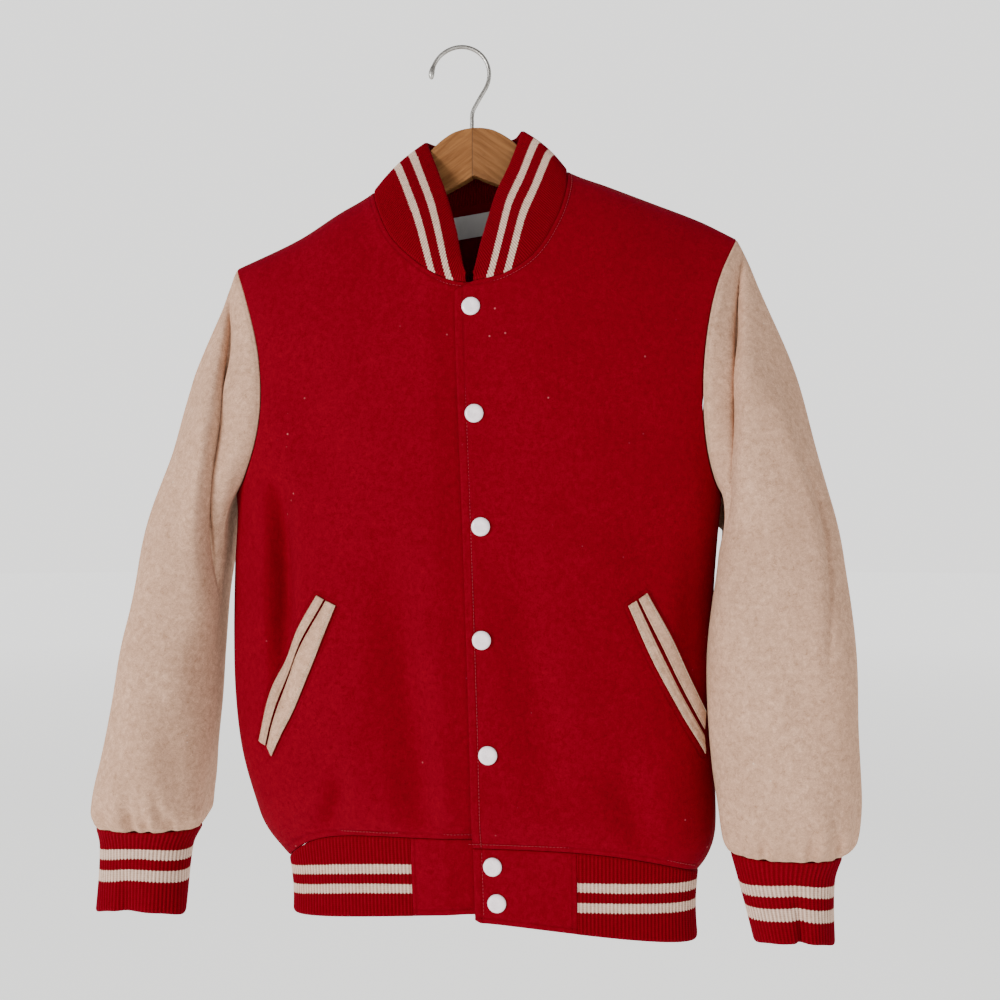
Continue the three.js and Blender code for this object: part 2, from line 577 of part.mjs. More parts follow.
function backGrid() {
  const edge = (side) => {
    const armhole = armholeRows(ARMHOLE[side].back, BACK_ARM_ROWS).map((p) => place('back', p));
    armhole[BACK_ARM_ROWS] = { q: side === 'left' ? -1 : 1, z: ARMPIT[side].z };
    return [...armhole, ...sideSeam(side)];
  };
  const [left, right] = [edge('left'), edge('right')];
  const count = COLUMNS.left.length - 1;
  const neck = spread(NECK.back, BACK_NECK_COLUMNS).map((p) => place('back', p));
  const top = [...shoulderSeam('left', count, 'back'), ...neck.slice(1, -1),
    ...shoulderSeam('right', count, 'back').reverse()];
  const bottom = top.map((p) => {
    const share = (p.q - top[0].q) / (top[top.length - 1].q - top[0].q);
    const q = Math.sin((share - 0.5) * Math.PI) * 0.35 + (share - 0.5) * 2 * 0.65;
    return { q, z: hemLevels('back', q).seam };
  });
  bottom[0].z = left[left.length - 1].z;
  bottom[bottom.length - 1].z = right[right.length - 1].z;
  const net = coons(top, bottom, left, right);
  return net.map((row) => row.map(({ q, z }) => bodyPoint('back', q, z)).reverse());
}

// ---- sleeves ----------------------------------------------------------------
function sleeveSection(side, section, turn) {
  const angle = turn * 2 * Math.PI;
  const bend = (s) => Math.sign(s) * Math.abs(s) ** (2 / SLEEVE_ROUND);
  return vec(section.x + SLEEVE[side].out * section.wide * bend(Math.cos(angle)),
    section.y - section.deep * bend(Math.sin(angle)), section.z);
}

function sleevePoint(side, z, turn) {
  const cuffTop = SLEEVE[side].sections.at(-1).z;
  const point = sleeveSection(side, lookup(SLEEVE[side].sections, 'z', z), turn);
  const out = sleeveSection(side, { x: 0, y: 0, z: 0, wide: 1, deep: 1 }, turn).normalize();
  const above = (z - cuffTop) / GATHER_RUN;
  if (above < 1) {
    const wave = Math.cos(GATHERS * 2 * Math.PI * turn + 1.3 * Math.sin(4 * Math.PI * turn + side.length));
    point.addScaledVector(out, GATHER_DEPTH * wave * Math.max(0, 1 - above) ** 1.4 * Math.min(1, 0.35 + above * 4));
  }
  return point;
}

function sleeveGrids(side, loop) {
  const spec = SLEEVE[side];
  const turns = loopTurns(loop);
  const top = spec.sections[0].z;
  const leave = spec.leave.map((l) => vec(...l));
  const upper = UPPER_ROWS.map((w) => loop.map((start, j) => {
    const end = sleevePoint(side, top, turns[j]);
    const quarter = turns[j] * 4;
    const from = leave[Math.floor(quarter) % 4], to = leave[(Math.floor(quarter) + 1) % 4];
    const run = start.distanceTo(end);
    const tangent = from.clone().lerp(to, MathUtils.smoothstep(quarter % 1, 0, 1)).normalize()
      .multiplyScalar(run * LEAVE_PULL);
    const fall = sleevePoint(side, top - 2, turns[j]).sub(end).normalize().multiplyScalar(run * 0.9);
    const t = w;
    return start.clone().multiplyScalar((1 + 2 * t) * (1 - t) ** 2)
      .addScaledVector(tangent, t * (1 - t) ** 2)
      .addScaledVector(end, (3 - 2 * t) * t ** 2)
      .addScaledVector(fall, -(1 - t) * t ** 2);
  }));
  const cuffTop = spec.sections.at(-1).z;
  const middle = [0.18, 0.37, 0.56, 0.75].map((w) => mix(top, cuffTop, w));
  const lower = [0.885, 0.94, 0.972, 0.99, 1].map((w) => mix(top, cuffTop, w));
  const doubled = turns.flatMap((t, j) => [t, mix(t, turns[j + 1] ?? 1, 0.5)]);
  const rows = [...upper, ...middle.map((z) => turns.map((t) => sleevePoint(side, z, t)))];
  const fineRows = lower.map((z) => doubled.map((t) => sleevePoint(side, z, t)));
  return { rows: creased(side, rows), fineRows };
}

// Presses the sleeve's creases into the half that faces the viewer.
function creased(side, rows) {
  const paths = side === 'left' ? CREASES.sleeveLeft : CREASES.sleeveRight;
  const normals = gridNormals(rows, true);
  const sign = normals[4][3].y < 0 ? 1 : -1;
  return rows.map((row, i) => row.map((p, j) => {
    const out = normals[i][j].clone().multiplyScalar(sign);
    const facing = MathUtils.smoothstep(-out.y, -0.35, 0.2) * MathUtils.smoothstep(p.distanceTo(rows[0][j]), 3, 28);
    return p.clone().addScaledVector(out, -creaseDepth(paths, p.x, p.z) * facing);
  }));
}

// Shares of the way round an armhole: 0 shoulder, 0.25 front, 0.5 armpit, 0.75 back.
function loopTurns(loop) {
  const along = (from, to) => {
    const lengths = [0];
    for (let i = from; i < to; i++) lengths.push(lengths.at(-1) + loop[i].distanceTo(loop[(i + 1) % loop.length]));
    return lengths.map((l) => l / lengths.at(-1) / 2);
  };
  const front = along(0, FRONT_ARM_ROWS), back = along(FRONT_ARM_ROWS, loop.length);
  return [...front, ...back.slice(1, -1).map((s) => 0.5 + s)];
}

function armholeLoop(front, back, side) {
  const outside = (row, grid) => (side === 'left') === (grid === 'front') ? row[0] : row.at(-1);
  const down = front.slice(0, FRONT_ARM_ROWS + 1).map((row) => outside(row, 'front'));
  const up = back.slice(1, BACK_ARM_ROWS).map((row) => outside(row, 'back')).reverse();
  return [...down, ...up];
}

function sleeveWall(side, { rows, fineRows }) {
  const flip = (normals) => {
    const sign = normals[3][3].y < 0 ? 1 : -1;
    return normals.map((row) => row.map((n) => n.multiplyScalar(sign)));
  };
  const normals = flip(gridNormals(rows, true));
  const last = rows.length - 1;
  const fineNormals = flip(gridNormals([rows[last].flatMap((p, j, r) => [p, p.clone().lerp(r[(j + 1) % r.length], 0.5)]),
    ...fineRows], true)).slice(1);
  return { rows, fineRows, normals, fineNormals };
}

function sleeveMesh(side, wall) {
  const coarse = thicken(wall.rows, wall.normals, WOOL, true);
  const fine = thicken(wall.fineRows, wall.fineNormals, WOOL, true);
  const keep = wall.rows.length - 1;
  coarse.outer[keep] = wall.rows[keep];
  coarse.inner[keep] = wall.rows[keep].map((p, j) => p.clone().addScaledVector(wall.normals[keep][j], -WOOL));
  fine.outer[0] = wall.fineRows[0];
  fine.inner[0] = wall.fineRows[0].map((p, j) => p.clone().addScaledVector(wall.fineNormals[0][j], -WOOL));
  return tubeWall(`sleeve_${side}`, [...coarse.outer, ...fine.outer], [...coarse.inner, ...fine.inner], CREAM);
}

const CUFF_COLUMNS = 40;

function cuffMesh(side) {
  const grid = SLEEVE[side].cuff.map((section) => Array.from({ length: CUFF_COLUMNS },
    (_, j) => sleeveSection(side, section, j / CUFF_COLUMNS)));
  let normals = gridNormals(grid, true);
  const sign = normals[1][CUFF_COLUMNS / 4].y < 0 ? 1 : -1;
  normals = normals.map((row) => row.map((n) => n.multiplyScalar(sign)));
  return ribWall(`cuff_${side}`, grid, normals, 1, RIB_PITCH, true);
}

// ---- collar -----------------------------------------------------------------
// The seam edge follows the neck seam point by point; the free edge follows its own curve.
function collarGrid(front, back) {
  const left = front.left.slice(0, NECK_ROWS + 1).map((row) => row.at(-1)).reverse();
  const right = front.right.slice(0, NECK_ROWS + 1).map((row) => row[0]);
  const top = [...back[0]].reverse();
  const count = COLUMNS.left.length - 1;
  const nape = top.slice(count + 1, count + BACK_NECK_COLUMNS);
  const seam = [...left, ...nape, ...right];
  const free = [...spread(COLLAR_EDGE.left, NECK_ROWS), ...spread(COLLAR_EDGE.back, BACK_NECK_COLUMNS).slice(1, -1),
    ...spread(COLLAR_EDGE.right, NECK_ROWS)];
  const middle = seam.map((p, j) => p.clone().lerp(free[j], 0.5));
  const lift = gridNormals([free, middle, seam])[1];
  const ends = (j) => Math.min(1, Math.min(j, seam.length - 1 - j) / 3);
  middle.forEach((p, j) => p.addScaledVector(lift[j], COLLAR_BULGE * ends(j) * (lift[j].z > 0 ? 1 : -1)));
  return [free, middle, seam];
}

// ---- hem --------------------------------------------------------------------
function hemBottomPoint(face, q) {
  const { left, right, front, back } = HEM_BOTTOM;
  return ovalPoint(ovalSection(left, right, front, back), face, q, hemLevels(face, q).bottom);
}

// Hem columns under a row of body columns, from its first to its last.
function hemColumns(face, row) {
  return row.map((p) => {
    const q = MathUtils.clamp(shareAt(face, p.x, p.z), -1, 1);
    const low = hemBottomPoint(face, q);
    if (face === 'left') low.y += lapDepth(p.x, p.z);
    return [p, low];
  });
}

const asRows = (columns) => [0, 1].map((i) => columns.map((c) => c[i]));

// ---- trims on the fronts ----------------------------------------------------
// Outer point of a wall under a place seen from the front, found on its own triangles.
function onWall(grid, x, z, behind = false) {
  for (let i = 0; i < grid.length - 1; i++) {
    for (let j = 0; j < grid[0].length - 1; j++) {
      const [a, b, c, d] = [grid[i][j], grid[i][j + 1], grid[i + 1][j], grid[i + 1][j + 1]];
      for (const [p, q, r] of [[a, b, c], [b, d, c]]) {
        const area = (q.x - p.x) * (r.z - p.z) - (r.x - p.x) * (q.z - p.z);
        const u = ((x - p.x) * (r.z - p.z) - (r.x - p.x) * (z - p.z)) / area;
        const w = ((q.x - p.x) * (z - p.z) - (x - p.x) * (q.z - p.z)) / area;
        if (u < -1e-6 || w < -1e-6 || u + w > 1 + 1e-6) continue;
        const out = q.clone().sub(p).cross(r.clone().sub(p)).normalize();
        if ((out.y > 0) !== behind) out.negate();
        return { at: vec(x, p.y + u * (q.y - p.y) + w * (r.y - p.y), z), out };
      }
    }
  }
  throw new Error(`no wall at ${x}, ${z}`);
}

// A flat piece that lies on a wall, from rows of places seen from the front.
function laidPiece(name, grid, places, lift, thick, look, behind = false) {
  const found = places.map((row) => row.map(([x, z]) => onWall(grid, x, z, behind)));
  const raise = (by) => found.map((row) => row.map(({ at, out }) => at.clone().addScaledVector(out, by)));
  return sheetWall(name, raise(lift + thick), raise(lift), look);
}

function weltPieces(side, grid) {
  const rows = POCKETS[side];
  const steps = 8;
  const edge = (key) => new THREE.SplineCurve(rows.map((r) => new THREE.Vector2(...r[key]))).getSpacedPoints(steps)
    .map((p) => [p.x, p.y]);
  return [['outer', 'slitOuter'], ['slitInner', 'inner']].map(([a, b]) => {
    const [from, to] = [edge(a), edge(b)];
    const places = from.map((p, i) => [0, 0.5, 1].map((t) => [mix(p[0], to[i][0], t), mix(p[1], to[i][1], t)]));
    return laidPiece(`welt_${side}_${a === 'outer' ? 'outer' : 'inner'}`, grid, places, LIE + 0.35, WELT, CREAM);
  });
}

function snapMesh(name, grid, [x, z]) {
  const { at, out } = onWall(grid, x, z);
  const turn = new THREE.Quaternion().setFromUnitVectors(vec(0, 0, 1), out);
  const profile = [[0.98, 0], [1, 0.45], [0.8, 0.95], [0.35, 0.85]];
  const sides = 14;
  const rings = profile.map(([r, h]) => Array.from({ length: sides }, (_, i) => {
    const a = (i / sides) * 2 * Math.PI;
    return vec(r * SNAP_RADIUS * Math.cos(a), r * SNAP_RADIUS * Math.sin(a), LIE + h * SNAP_DOME)
      .applyQuaternion(turn).add(at);
  }));
  return loft(name, rings, PEARL);
}

// ---- hanger -----------------------------------------------------------------
function hangerWood() {
  const sections = [...[...HANGER].reverse().map((s) => ({ ...s, d: -s.d })), ...HANGER.slice(1)];
  const rings = sections.map(({ d, top, bottom, thick }) => {
    const half = HANGER_HALF_THICK * thick, middle = (top + bottom) / 2, tall = (top - bottom) / 2;
    return [[0, 1], [0.7, 0.97], [1, 0.86], [1, -0.86], [0.7, -0.97], [0, -1], [-0.7, -0.97], [-1, -0.86],
      [-1, 0.86], [-0.7, 0.97]].map(([y, z]) => vec(d, y * half, middle + z * tall));
  });
  const wood = loft('hanger_wood', rings, WOOD_TONE);
  wood.geometry.translate(0, 0, -HANGER[0].top);
  wood.geometry.rotateY(-HANGER_TILT);
  wood.geometry.translate(HANGER_MIDDLE, 0, HANGER[0].top);
  return wood;
}

// The wood with a blind bore for the hook's stem.
async function boredWood() {
  const { Manifold: Body, Mesh } = await loadManifold();
  const wood = hangerWood();
  const position = wood.geometry.getAttribute('position');
  const block = new Body(new Mesh({ numProp: 3, vertProperties: Float32Array.from(position.array),
    triVerts: Uint32Array.from(wood.geometry.index.array) }));
  const bore = Body.cylinder(60, WIRE + 0.35, WIRE + 0.35, 12).translate([HOOK_STEM.x, 0, HOOK_STEM.z - 1]);
  const cut = block.subtract(bore).getMesh();
  const geometry = new THREE.BufferGeometry();
  geometry.setAttribute('position', new THREE.Float32BufferAttribute(cut.vertProperties, 3));
  geometry.setIndex([...cut.triVerts]);
  geometry.computeVertexNormals();
  return named('hanger_wood', geometry, WOOD_TONE);
}

async function loadManifold() {
  const library = await Manifold();
  library.setup();
  return library;
}

function hangerHook() {
  const centre = WIRE - HOOK_RADIUS;
  const path = [];
  for (let a = 184; a > -34; a -= 9) {
    const r = MathUtils.degToRad(a);
    path.push(vec(HOOK_RADIUS * Math.cos(r), 0, centre + HOOK_RADIUS * Math.sin(r)));
  }
  path.push(vec(16, 0, -51), vec(HOOK_STEM.x + 0.6, 0, -60), vec(HOOK_STEM.x, 0, -70), vec(HOOK_STEM.x, 0, HOOK_STEM.z));
  const ball = [0.5, 1.15, 1.5, 1.45, 1];
  const sides = 8;
  const rings = path.map((p, i) => {
    const way = (path[i + 1] || p).clone().sub(path[i - 1] || p).normalize();
    const across = vec(0, 1, 0), up = way.clone().cross(across).normalize();
    const radius = WIRE * (ball[i] ?? 1);
    return Array.from({ length: sides }, (_, k) => {
      const a = ((k + 0.5) / sides) * 2 * Math.PI;
      return p.clone().addScaledVector(across, radius * Math.cos(a)).addScaledVector(up, radius * Math.sin(a));
    });
  });
  return loft('hanger_hook', rings, STEEL);
}

// ---- assembly ---------------------------------------------------------------
const front = { left: frontGrid('left'), right: frontGrid('right') };
const back = backGrid();
const outward = (grid, normals, sign) => normals.map((row) => row.map((n) => n.multiplyScalar(sign)));
const signOf = (normals, wantsBack) => ((normals[12][Math.floor(normals[12].length / 2)].y > 0) === wantsBack ? 1 : -1);

const frontNormals = {}, sleeves = {};
for (const side of ['left', 'right']) {
  const normals = gridNormals(front[side]);
  frontNormals[side] = outward(front[side], normals, signOf(normals, false));
  addMitre(front[side], frontNormals[side]);
}
let backNormals = gridNormals(back);
backNormals = outward(back, backNormals, signOf(backNormals, true));
addMitre(back, backNormals);
for (const side of ['left', 'right']) {
  sleeves[side] = sleeveWall(side, sleeveGrids(side, armholeLoop(front[side], back, side)));
  addMitre(sleeves[side].rows, sleeves[side].normals);
}
const collar = collarGrid(front, back);
let collarNormals = gridNormals(collar);
const napeSign = collarNormals[1][Math.floor(collar[0].length / 2)].y > 0 ? 1 : -1;
collarNormals = outward(collar, collarNormals, napeSign);
addMitre(collar, collarNormals);

// Hem: a wool tab at each front end and one rib band from tab to tab round the back.
const hemLeft = hemColumns('left', front.left.at(-1));
const hemRight = hemColumns('right', front.right.at(-1));
const hemBack = hemColumns('back', back.at(-1));
const rightTabStart = COLUMNS.right.length - 1 - TAB_COLUMN;
const band = [...hemLeft.slice(0, TAB_COLUMN + 1).reverse(), ...hemBack.slice(1, -1).reverse(),
  ...hemRight.slice(rightTabStart).reverse()];
const hemPieces = {
  band: asRows(band),
  tabLeft: asRows(hemLeft.slice(TAB_COLUMN)),
  tabRight: asRows(hemRight.slice(0, rightTabStart + 1)),
};
const hemNormals = {};
for (const [name, grid] of Object.entries(hemPieces)) {
  const normals = gridNormals(grid);
  const probe = name === 'band' ? Math.floor(grid[0].length / 2) : 1;
  hemNormals[name] = outward(grid, normals, (normals[0][probe].y > 0) === (name === 'band') ? 1 : -1);
  addMitre(grid, hemNormals[name]);
}

function panel(name, grid, normals, look, thick = WOOL) {
  const { outer, inner } = thicken(grid, normals, thick);
  return sheetWall(name, outer, inner, look);
}

const jacket = new THREE.Group();
jacket.name = 'varsity_jacket';
jacket.add(panel('back', back, backNormals, RED));
for (const side of ['left', 'right']) {
  jacket.add(panel(`front_${side}`, front[side], frontNormals[side], RED));
  jacket.add(sleeveMesh(side, sleeves[side]));
  jacket.add(cuffMesh(side));
  jacket.add(...weltPieces(side, front[side]));
}
jacket.add(ribWall('collar', collar, collarNormals, 1, COLLAR_PITCH));
jacket.add(ribWall('hem_rib', hemPieces.band, hemNormals.band, 0, RIB_PITCH));
jacket.add(panel('hem_tab_left', hemPieces.tabLeft, hemNormals.tabLeft, RED));
jacket.add(panel('hem_tab_right', hemPieces.tabRight, hemNormals.tabRight, RED));
SNAPS.forEach((spot, i) => {
  jacket.add(snapMesh(`snap_${i + 1}`, spot[1] < HEM_LEVELS.right.seam ? hemPieces.tabRight : front.right, spot));
});
const { inner: backInside } = thicken(back, backNormals, WOOL);
const labelRows = [0, 0.5, 1].map((t) => Array.from({ length: 9 }, (_, j) => [mix(LABEL.left, LABEL.right, j / 8),
  mix(LABEL.top, LABEL.bottom, t) + LABEL.lift * (j / 8)]));
jacket.add(laidPiece('label', backInside, labelRows, LIE, LABEL.thick, WHITE));
jacket.add(await boredWood());
jacket.add(hangerHook());

export default jacket;
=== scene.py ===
import math
import bmesh
import bpy
import numpy as np
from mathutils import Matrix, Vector


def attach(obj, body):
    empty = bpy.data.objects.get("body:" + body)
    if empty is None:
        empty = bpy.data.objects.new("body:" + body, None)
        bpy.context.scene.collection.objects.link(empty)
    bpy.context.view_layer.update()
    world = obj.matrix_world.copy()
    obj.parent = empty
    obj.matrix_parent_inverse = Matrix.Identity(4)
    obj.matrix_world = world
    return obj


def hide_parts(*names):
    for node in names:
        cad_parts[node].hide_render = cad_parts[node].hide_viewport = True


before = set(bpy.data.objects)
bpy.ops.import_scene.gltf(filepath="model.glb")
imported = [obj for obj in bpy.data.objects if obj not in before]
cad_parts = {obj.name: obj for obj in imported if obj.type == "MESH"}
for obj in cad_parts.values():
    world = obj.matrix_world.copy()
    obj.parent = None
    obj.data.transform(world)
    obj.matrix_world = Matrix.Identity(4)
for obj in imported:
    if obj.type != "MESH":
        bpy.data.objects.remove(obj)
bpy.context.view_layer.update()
bpy.ops.object.select_all(action="DESELECT")

# Camera
# A little to the right of the jacket's middle and a little above it, about a metre away,
# as in the photograph.
CAMERA_AT = Vector((0.1501, -0.9930, -0.4529))
CAMERA_AIM = Vector((0.0370, 0.0, -0.4180))
bpy.ops.object.camera_add(location=CAMERA_AT)
camera = bpy.context.object
camera.name = "camera"
camera.rotation_euler = (CAMERA_AIM - CAMERA_AT).to_track_quat("-Z", "Y").to_euler()
camera.data.sensor_width = 36
camera.data.lens = 39.6
bpy.context.scene.camera = camera

# Back
# One panel of red melton wool with a short brushed nap, from the shoulder seams to the hem
# band. The two fronts and the sleeves are sewn to its sides, and it hangs from the hanger.
MM = 0.001
WOOL = 2.2
PLAIN_INSIDE = ("stripe_mm",)    # marks that only the outer face carries
# height below the hook; outline at the left and right; depth to the front and to the back
BODY = [
    (-60, -254, 290, 50, 46), (-120, -252, 284, 52, 48), (-200, -246, 273, 55, 50),
    (-284, -231, 256, 60, 52), (-350, -218, 245, 64, 52), (-416, -207, 235, 66, 51),
    (-480, -209, 229, 67, 50), (-540, -209, 226, 67, 49), (-600, -206, 226, 66, 48),
    (-650, -199, 227, 64, 47), (-700, -184, 228, 61, 46), (-745, -168, 224, 58, 45)]
HEM_TOP = (-155, 212, 51, 41)
HEM_BOTTOM = (-151, 211, 49, 39)
# middle height and curve of the hem seam and of the hem's lower edge
HEM_LEVELS = {"left": (-711.5, 7, -775.5, 1.5), "right": (-718.5, 3, -782, 1.2),
              "back": (-716, 5, -785, 4)}
HEM_SIDE_SEAM = -742
HEM_SIDE_BOTTOM = (-790, -801)
RIDGE = [(-230, -208), (-211, -200), (-151, -174), (-113, -151), (-80, -132), (-40, -98),
         (8, -80), (58, -90), (99, -119), (137, -135), (173, -150), (218, -169),
         (250, -186), (270, -196)]
SHOULDER = {"left": (-211, -80), "right": (250, 99)}
ARMPIT = -416
NECK = {
    "left": [(-80, -132), (-72, -154), (-56, -185), (-31, -210), (-7, -225), (13, -230)],
    "right": [(99, -119), (99, -142), (91, -172), (73, -204), (48, -222), (20, -229)],
    "back": [(-80, -132), (-58, -138), (-25, -138), (8, -134), (45, -130), (76, -124), (99, -119)]}
ARMHOLE = {
    ("left", "front"): [(-211, -200), (-195, -235), (-179, -284), (-174, -330), (-179, -366),
                        (-193, -400), (-207, -416)],
    ("left", "back"): [(-211, -200), (-204, -240), (-194, -290), (-189, -335), (-191, -372),
                       (-199, -402), (-207, -416)],
    ("right", "front"): [(250, -186), (234, -222), (224, -258), (218, -300), (217, -340),
                         (220, -374), (227, -402), (235, -416)],
    ("right", "back"): [(250, -186), (241, -228), (230, -275), (222, -325), (221, -368),
                        (227, -402), (235, -416)]}


def smooth_table(rows, at):
    """Smooth values of a table's columns at values of its first column."""
    rows = np.array(rows if rows[-1][0] > rows[0][0] else rows[::-1], float)
    key, value = rows[:, 0], rows[:, 1:]
    slope = np.empty_like(value)
    slope[1:-1] = (value[2:] - value[:-2]) / (key[2:] - key[:-2])[:, None]
    slope[0] = (value[1] - value[0]) / (key[1] - key[0])
    slope[-1] = (value[-1] - value[-2]) / (key[-1] - key[-2])
    at = np.clip(np.asarray(at, float), key[0], key[-1])
    i = np.clip(np.searchsorted(key, at) - 1, 0, len(key) - 2)
    run = (key[i + 1] - key[i])[..., None]
    t = ((at - key[i]) / run[..., 0])[..., None]
    return (value[i] * (1 + 2 * t) * (1 - t) ** 2 + slope[i] * run * t * (1 - t) ** 2
            + value[i + 1] * (3 - 2 * t) * t ** 2 - slope[i + 1] * run * (1 - t) * t ** 2)


def along(points, shares):
    """Points at shares of the length of a smooth curve through the given ones."""
    points = np.array(points, float)
    gaps = np.sqrt(np.linalg.norm(np.diff(points, axis=0), axis=1))
    knots = np.concatenate([[0], np.cumsum(gaps)])
    fine = smooth_table(np.column_stack([knots, points]), np.linspace(0, knots[-1], 600))
    length = np.concatenate([[0], np.cumsum(np.linalg.norm(np.diff(fine, axis=0), axis=1))])
    at = np.asarray(shares) * length[-1]
    return np.stack([np.interp(at, length, fine[:, k]) for k in range(points.shape[1])], -1)


def smoothstep(x, low, high):
    t = np.clip((x - low) / (high - low), 0, 1)
    return t * t * (3 - 2 * t)


def hem_seam(face, q):
    seam, power = HEM_LEVELS[face][:2]
    return seam + (HEM_SIDE_SEAM - seam) * np.abs(q) ** power


def hem_low(face, q):
    low, power = HEM_LEVELS[face][2:]
    side = np.where(q < 0, HEM_SIDE_BOTTOM[0], HEM_SIDE_BOTTOM[1])
    return low + (side - low) * np.abs(q) ** power


def body_outline(face, q, z):
    share = (np.clip(1 - (z - hem_seam(face, q)) / 45, 0, 1) ** 3)[..., None]
    return smooth_table(BODY, z) * (1 - share) + np.array(HEM_TOP, float) * share


def oval_point(outline, face, q, z, open_share=1.0):
    """A point of an oval section: q runs from -1 at the left side to 1 at the right."""
    left, right, front, back = np.moveaxis(np.broadcast_to(outline, np.shape(q) + (4,)), -1, 0)
    power = 2.6 if face == "back" else 2.5
    share = np.maximum(0, 1 - np.abs(q) ** power) ** (1 / power)
    depth = (back if face == "back" else -front) * open_share * share
    return np.stack([(left + right) / 2 + (right - left) / 2 * q, depth, z + 0 * q], -1)


def body_point(face, q, z):
    """The jacket's body at a share of its half width and a height, without its creases."""
    outline = body_outline(face, q, z)
    x = (outline[..., 0] + outline[..., 1]) / 2 + (outline[..., 1] - outline[..., 0]) / 2 * q
    below = smooth_table(RIDGE, x)[..., 0] - z
    rise = np.where(below < 0.05, 0, np.clip(below / 200, 0, 1))
    return oval_point(outline, face, q, z, np.sqrt(rise * (2 - rise)))


def share_at(face, x, z):
    q = np.zeros(np.broadcast(x, z).shape)
    for _ in range(6):
        outline = body_outline(face, q, z + 0 * q)
        left, right = outline[..., 0], outline[..., 1]
        q = np.clip((x - (left + right) / 2) / ((right - left) / 2), -1, 1)
    return q


def places(face, points):
    """Seen from the front, points as shares and heights on the body."""
    points = np.asarray(points, float)
    return np.column_stack([share_at(face, points[:, 0], points[:, 1]), points[:, 1]])


def armhole_places(side, face, count):
    t = np.linspace(0, 1, count + 1)
    t = 0.62 * t + 0.38 * t * t * (3 - 2 * t) - 0.13 * np.sin(np.pi * t) ** 1.5 * (1 - t)
    rows = places("back" if face == "back" else side, along(ARMHOLE[side, face], t))
    rows[-1] = (-1 if side == "left" else 1, ARMPIT)
    return rows


def side_places(side, count):
    q = -1 if side == "left" else 1
    z = np.linspace(ARMPIT, hem_seam(side, np.array(float(q))), count + 1)[1:]
    return np.column_stack([np.full(count, q), z])


def shoulder_places(side, face, count):
    x = np.linspace(*SHOULDER[side], count + 1)
    return places(face, np.column_stack([x, smooth_table(RIDGE, x)[:, 0]]))


def filled(top, bottom, left, right, u, v):
    """Shares and heights inside four edges, at the given shares across and down."""
    def read(edge, t):
        at = np.asarray(t) * (len(edge) - 1)
        return np.stack([np.interp(at, np.arange(len(edge)), edge[:, k]) for k in (0, 1)], -1)
    t, b, l, r = read(top, u), read(bottom, u), read(left, v), read(right, v)
    across = ((t[:, 0] - t[0, 0]) / (t[-1, 0] - t[0, 0]))[None, :]
    across_low = ((b[:, 0] - b[0, 0]) / (b[-1, 0] - b[0, 0]))[None, :]
    down = ((l[:, 1] - l[0, 1]) / (l[-1, 1] - l[0, 1]))[:, None]
    down_right = ((r[:, 1] - r[0, 1]) / (r[-1, 1] - r[0, 1]))[:, None]
    uu = across * (1 - down) + across_low * down
    vv = down * (1 - uu) + down_right * uu
    uu, vv = uu[..., None], vv[..., None]
    net = ((1 - vv) * t[None] + vv * b[None] + (1 - uu) * l[:, None] + uu * r[:, None]
           - (1 - uu) * (1 - vv) * t[0] - uu * (1 - vv) * t[-1]
           - (1 - uu) * vv * b[0] - uu * vv * b[-1])
    return net[..., 0], net[..., 1]


def soft_ends(count, start=True, end=True):
    """Even shares from 0 to 1 with closer ones at the ends, where a cut edge turns over."""
    near = np.array([0.0, 0.12, 0.3, 0.55, 0.8])
    middle = np.arange(1, count)
    first = near if start else np.array([0.0])
    last = count - near[::-1] if end else np.array([float(count)])
    return np.concatenate([first, middle, last]) / count


def grid_normals(grid, closed=False):
    if closed:
        du = np.roll(grid, -1, 1) - np.roll(grid, 1, 1)
    else:
        du = np.gradient(grid, axis=1)
    dv = np.gradient(grid, axis=0)
    n = np.cross(dv, du)
    return n / np.maximum(np.linalg.norm(n, axis=-1, keepdims=True), 1e-9)


def run_lengths(grid, axis):
    steps = np.linalg.norm(np.diff(grid, axis=axis), axis=-1)
    zero = np.zeros_like(np.take(steps, [0], axis=axis))
    return np.concatenate([zero, np.cumsum(steps, axis=axis)], axis=axis)


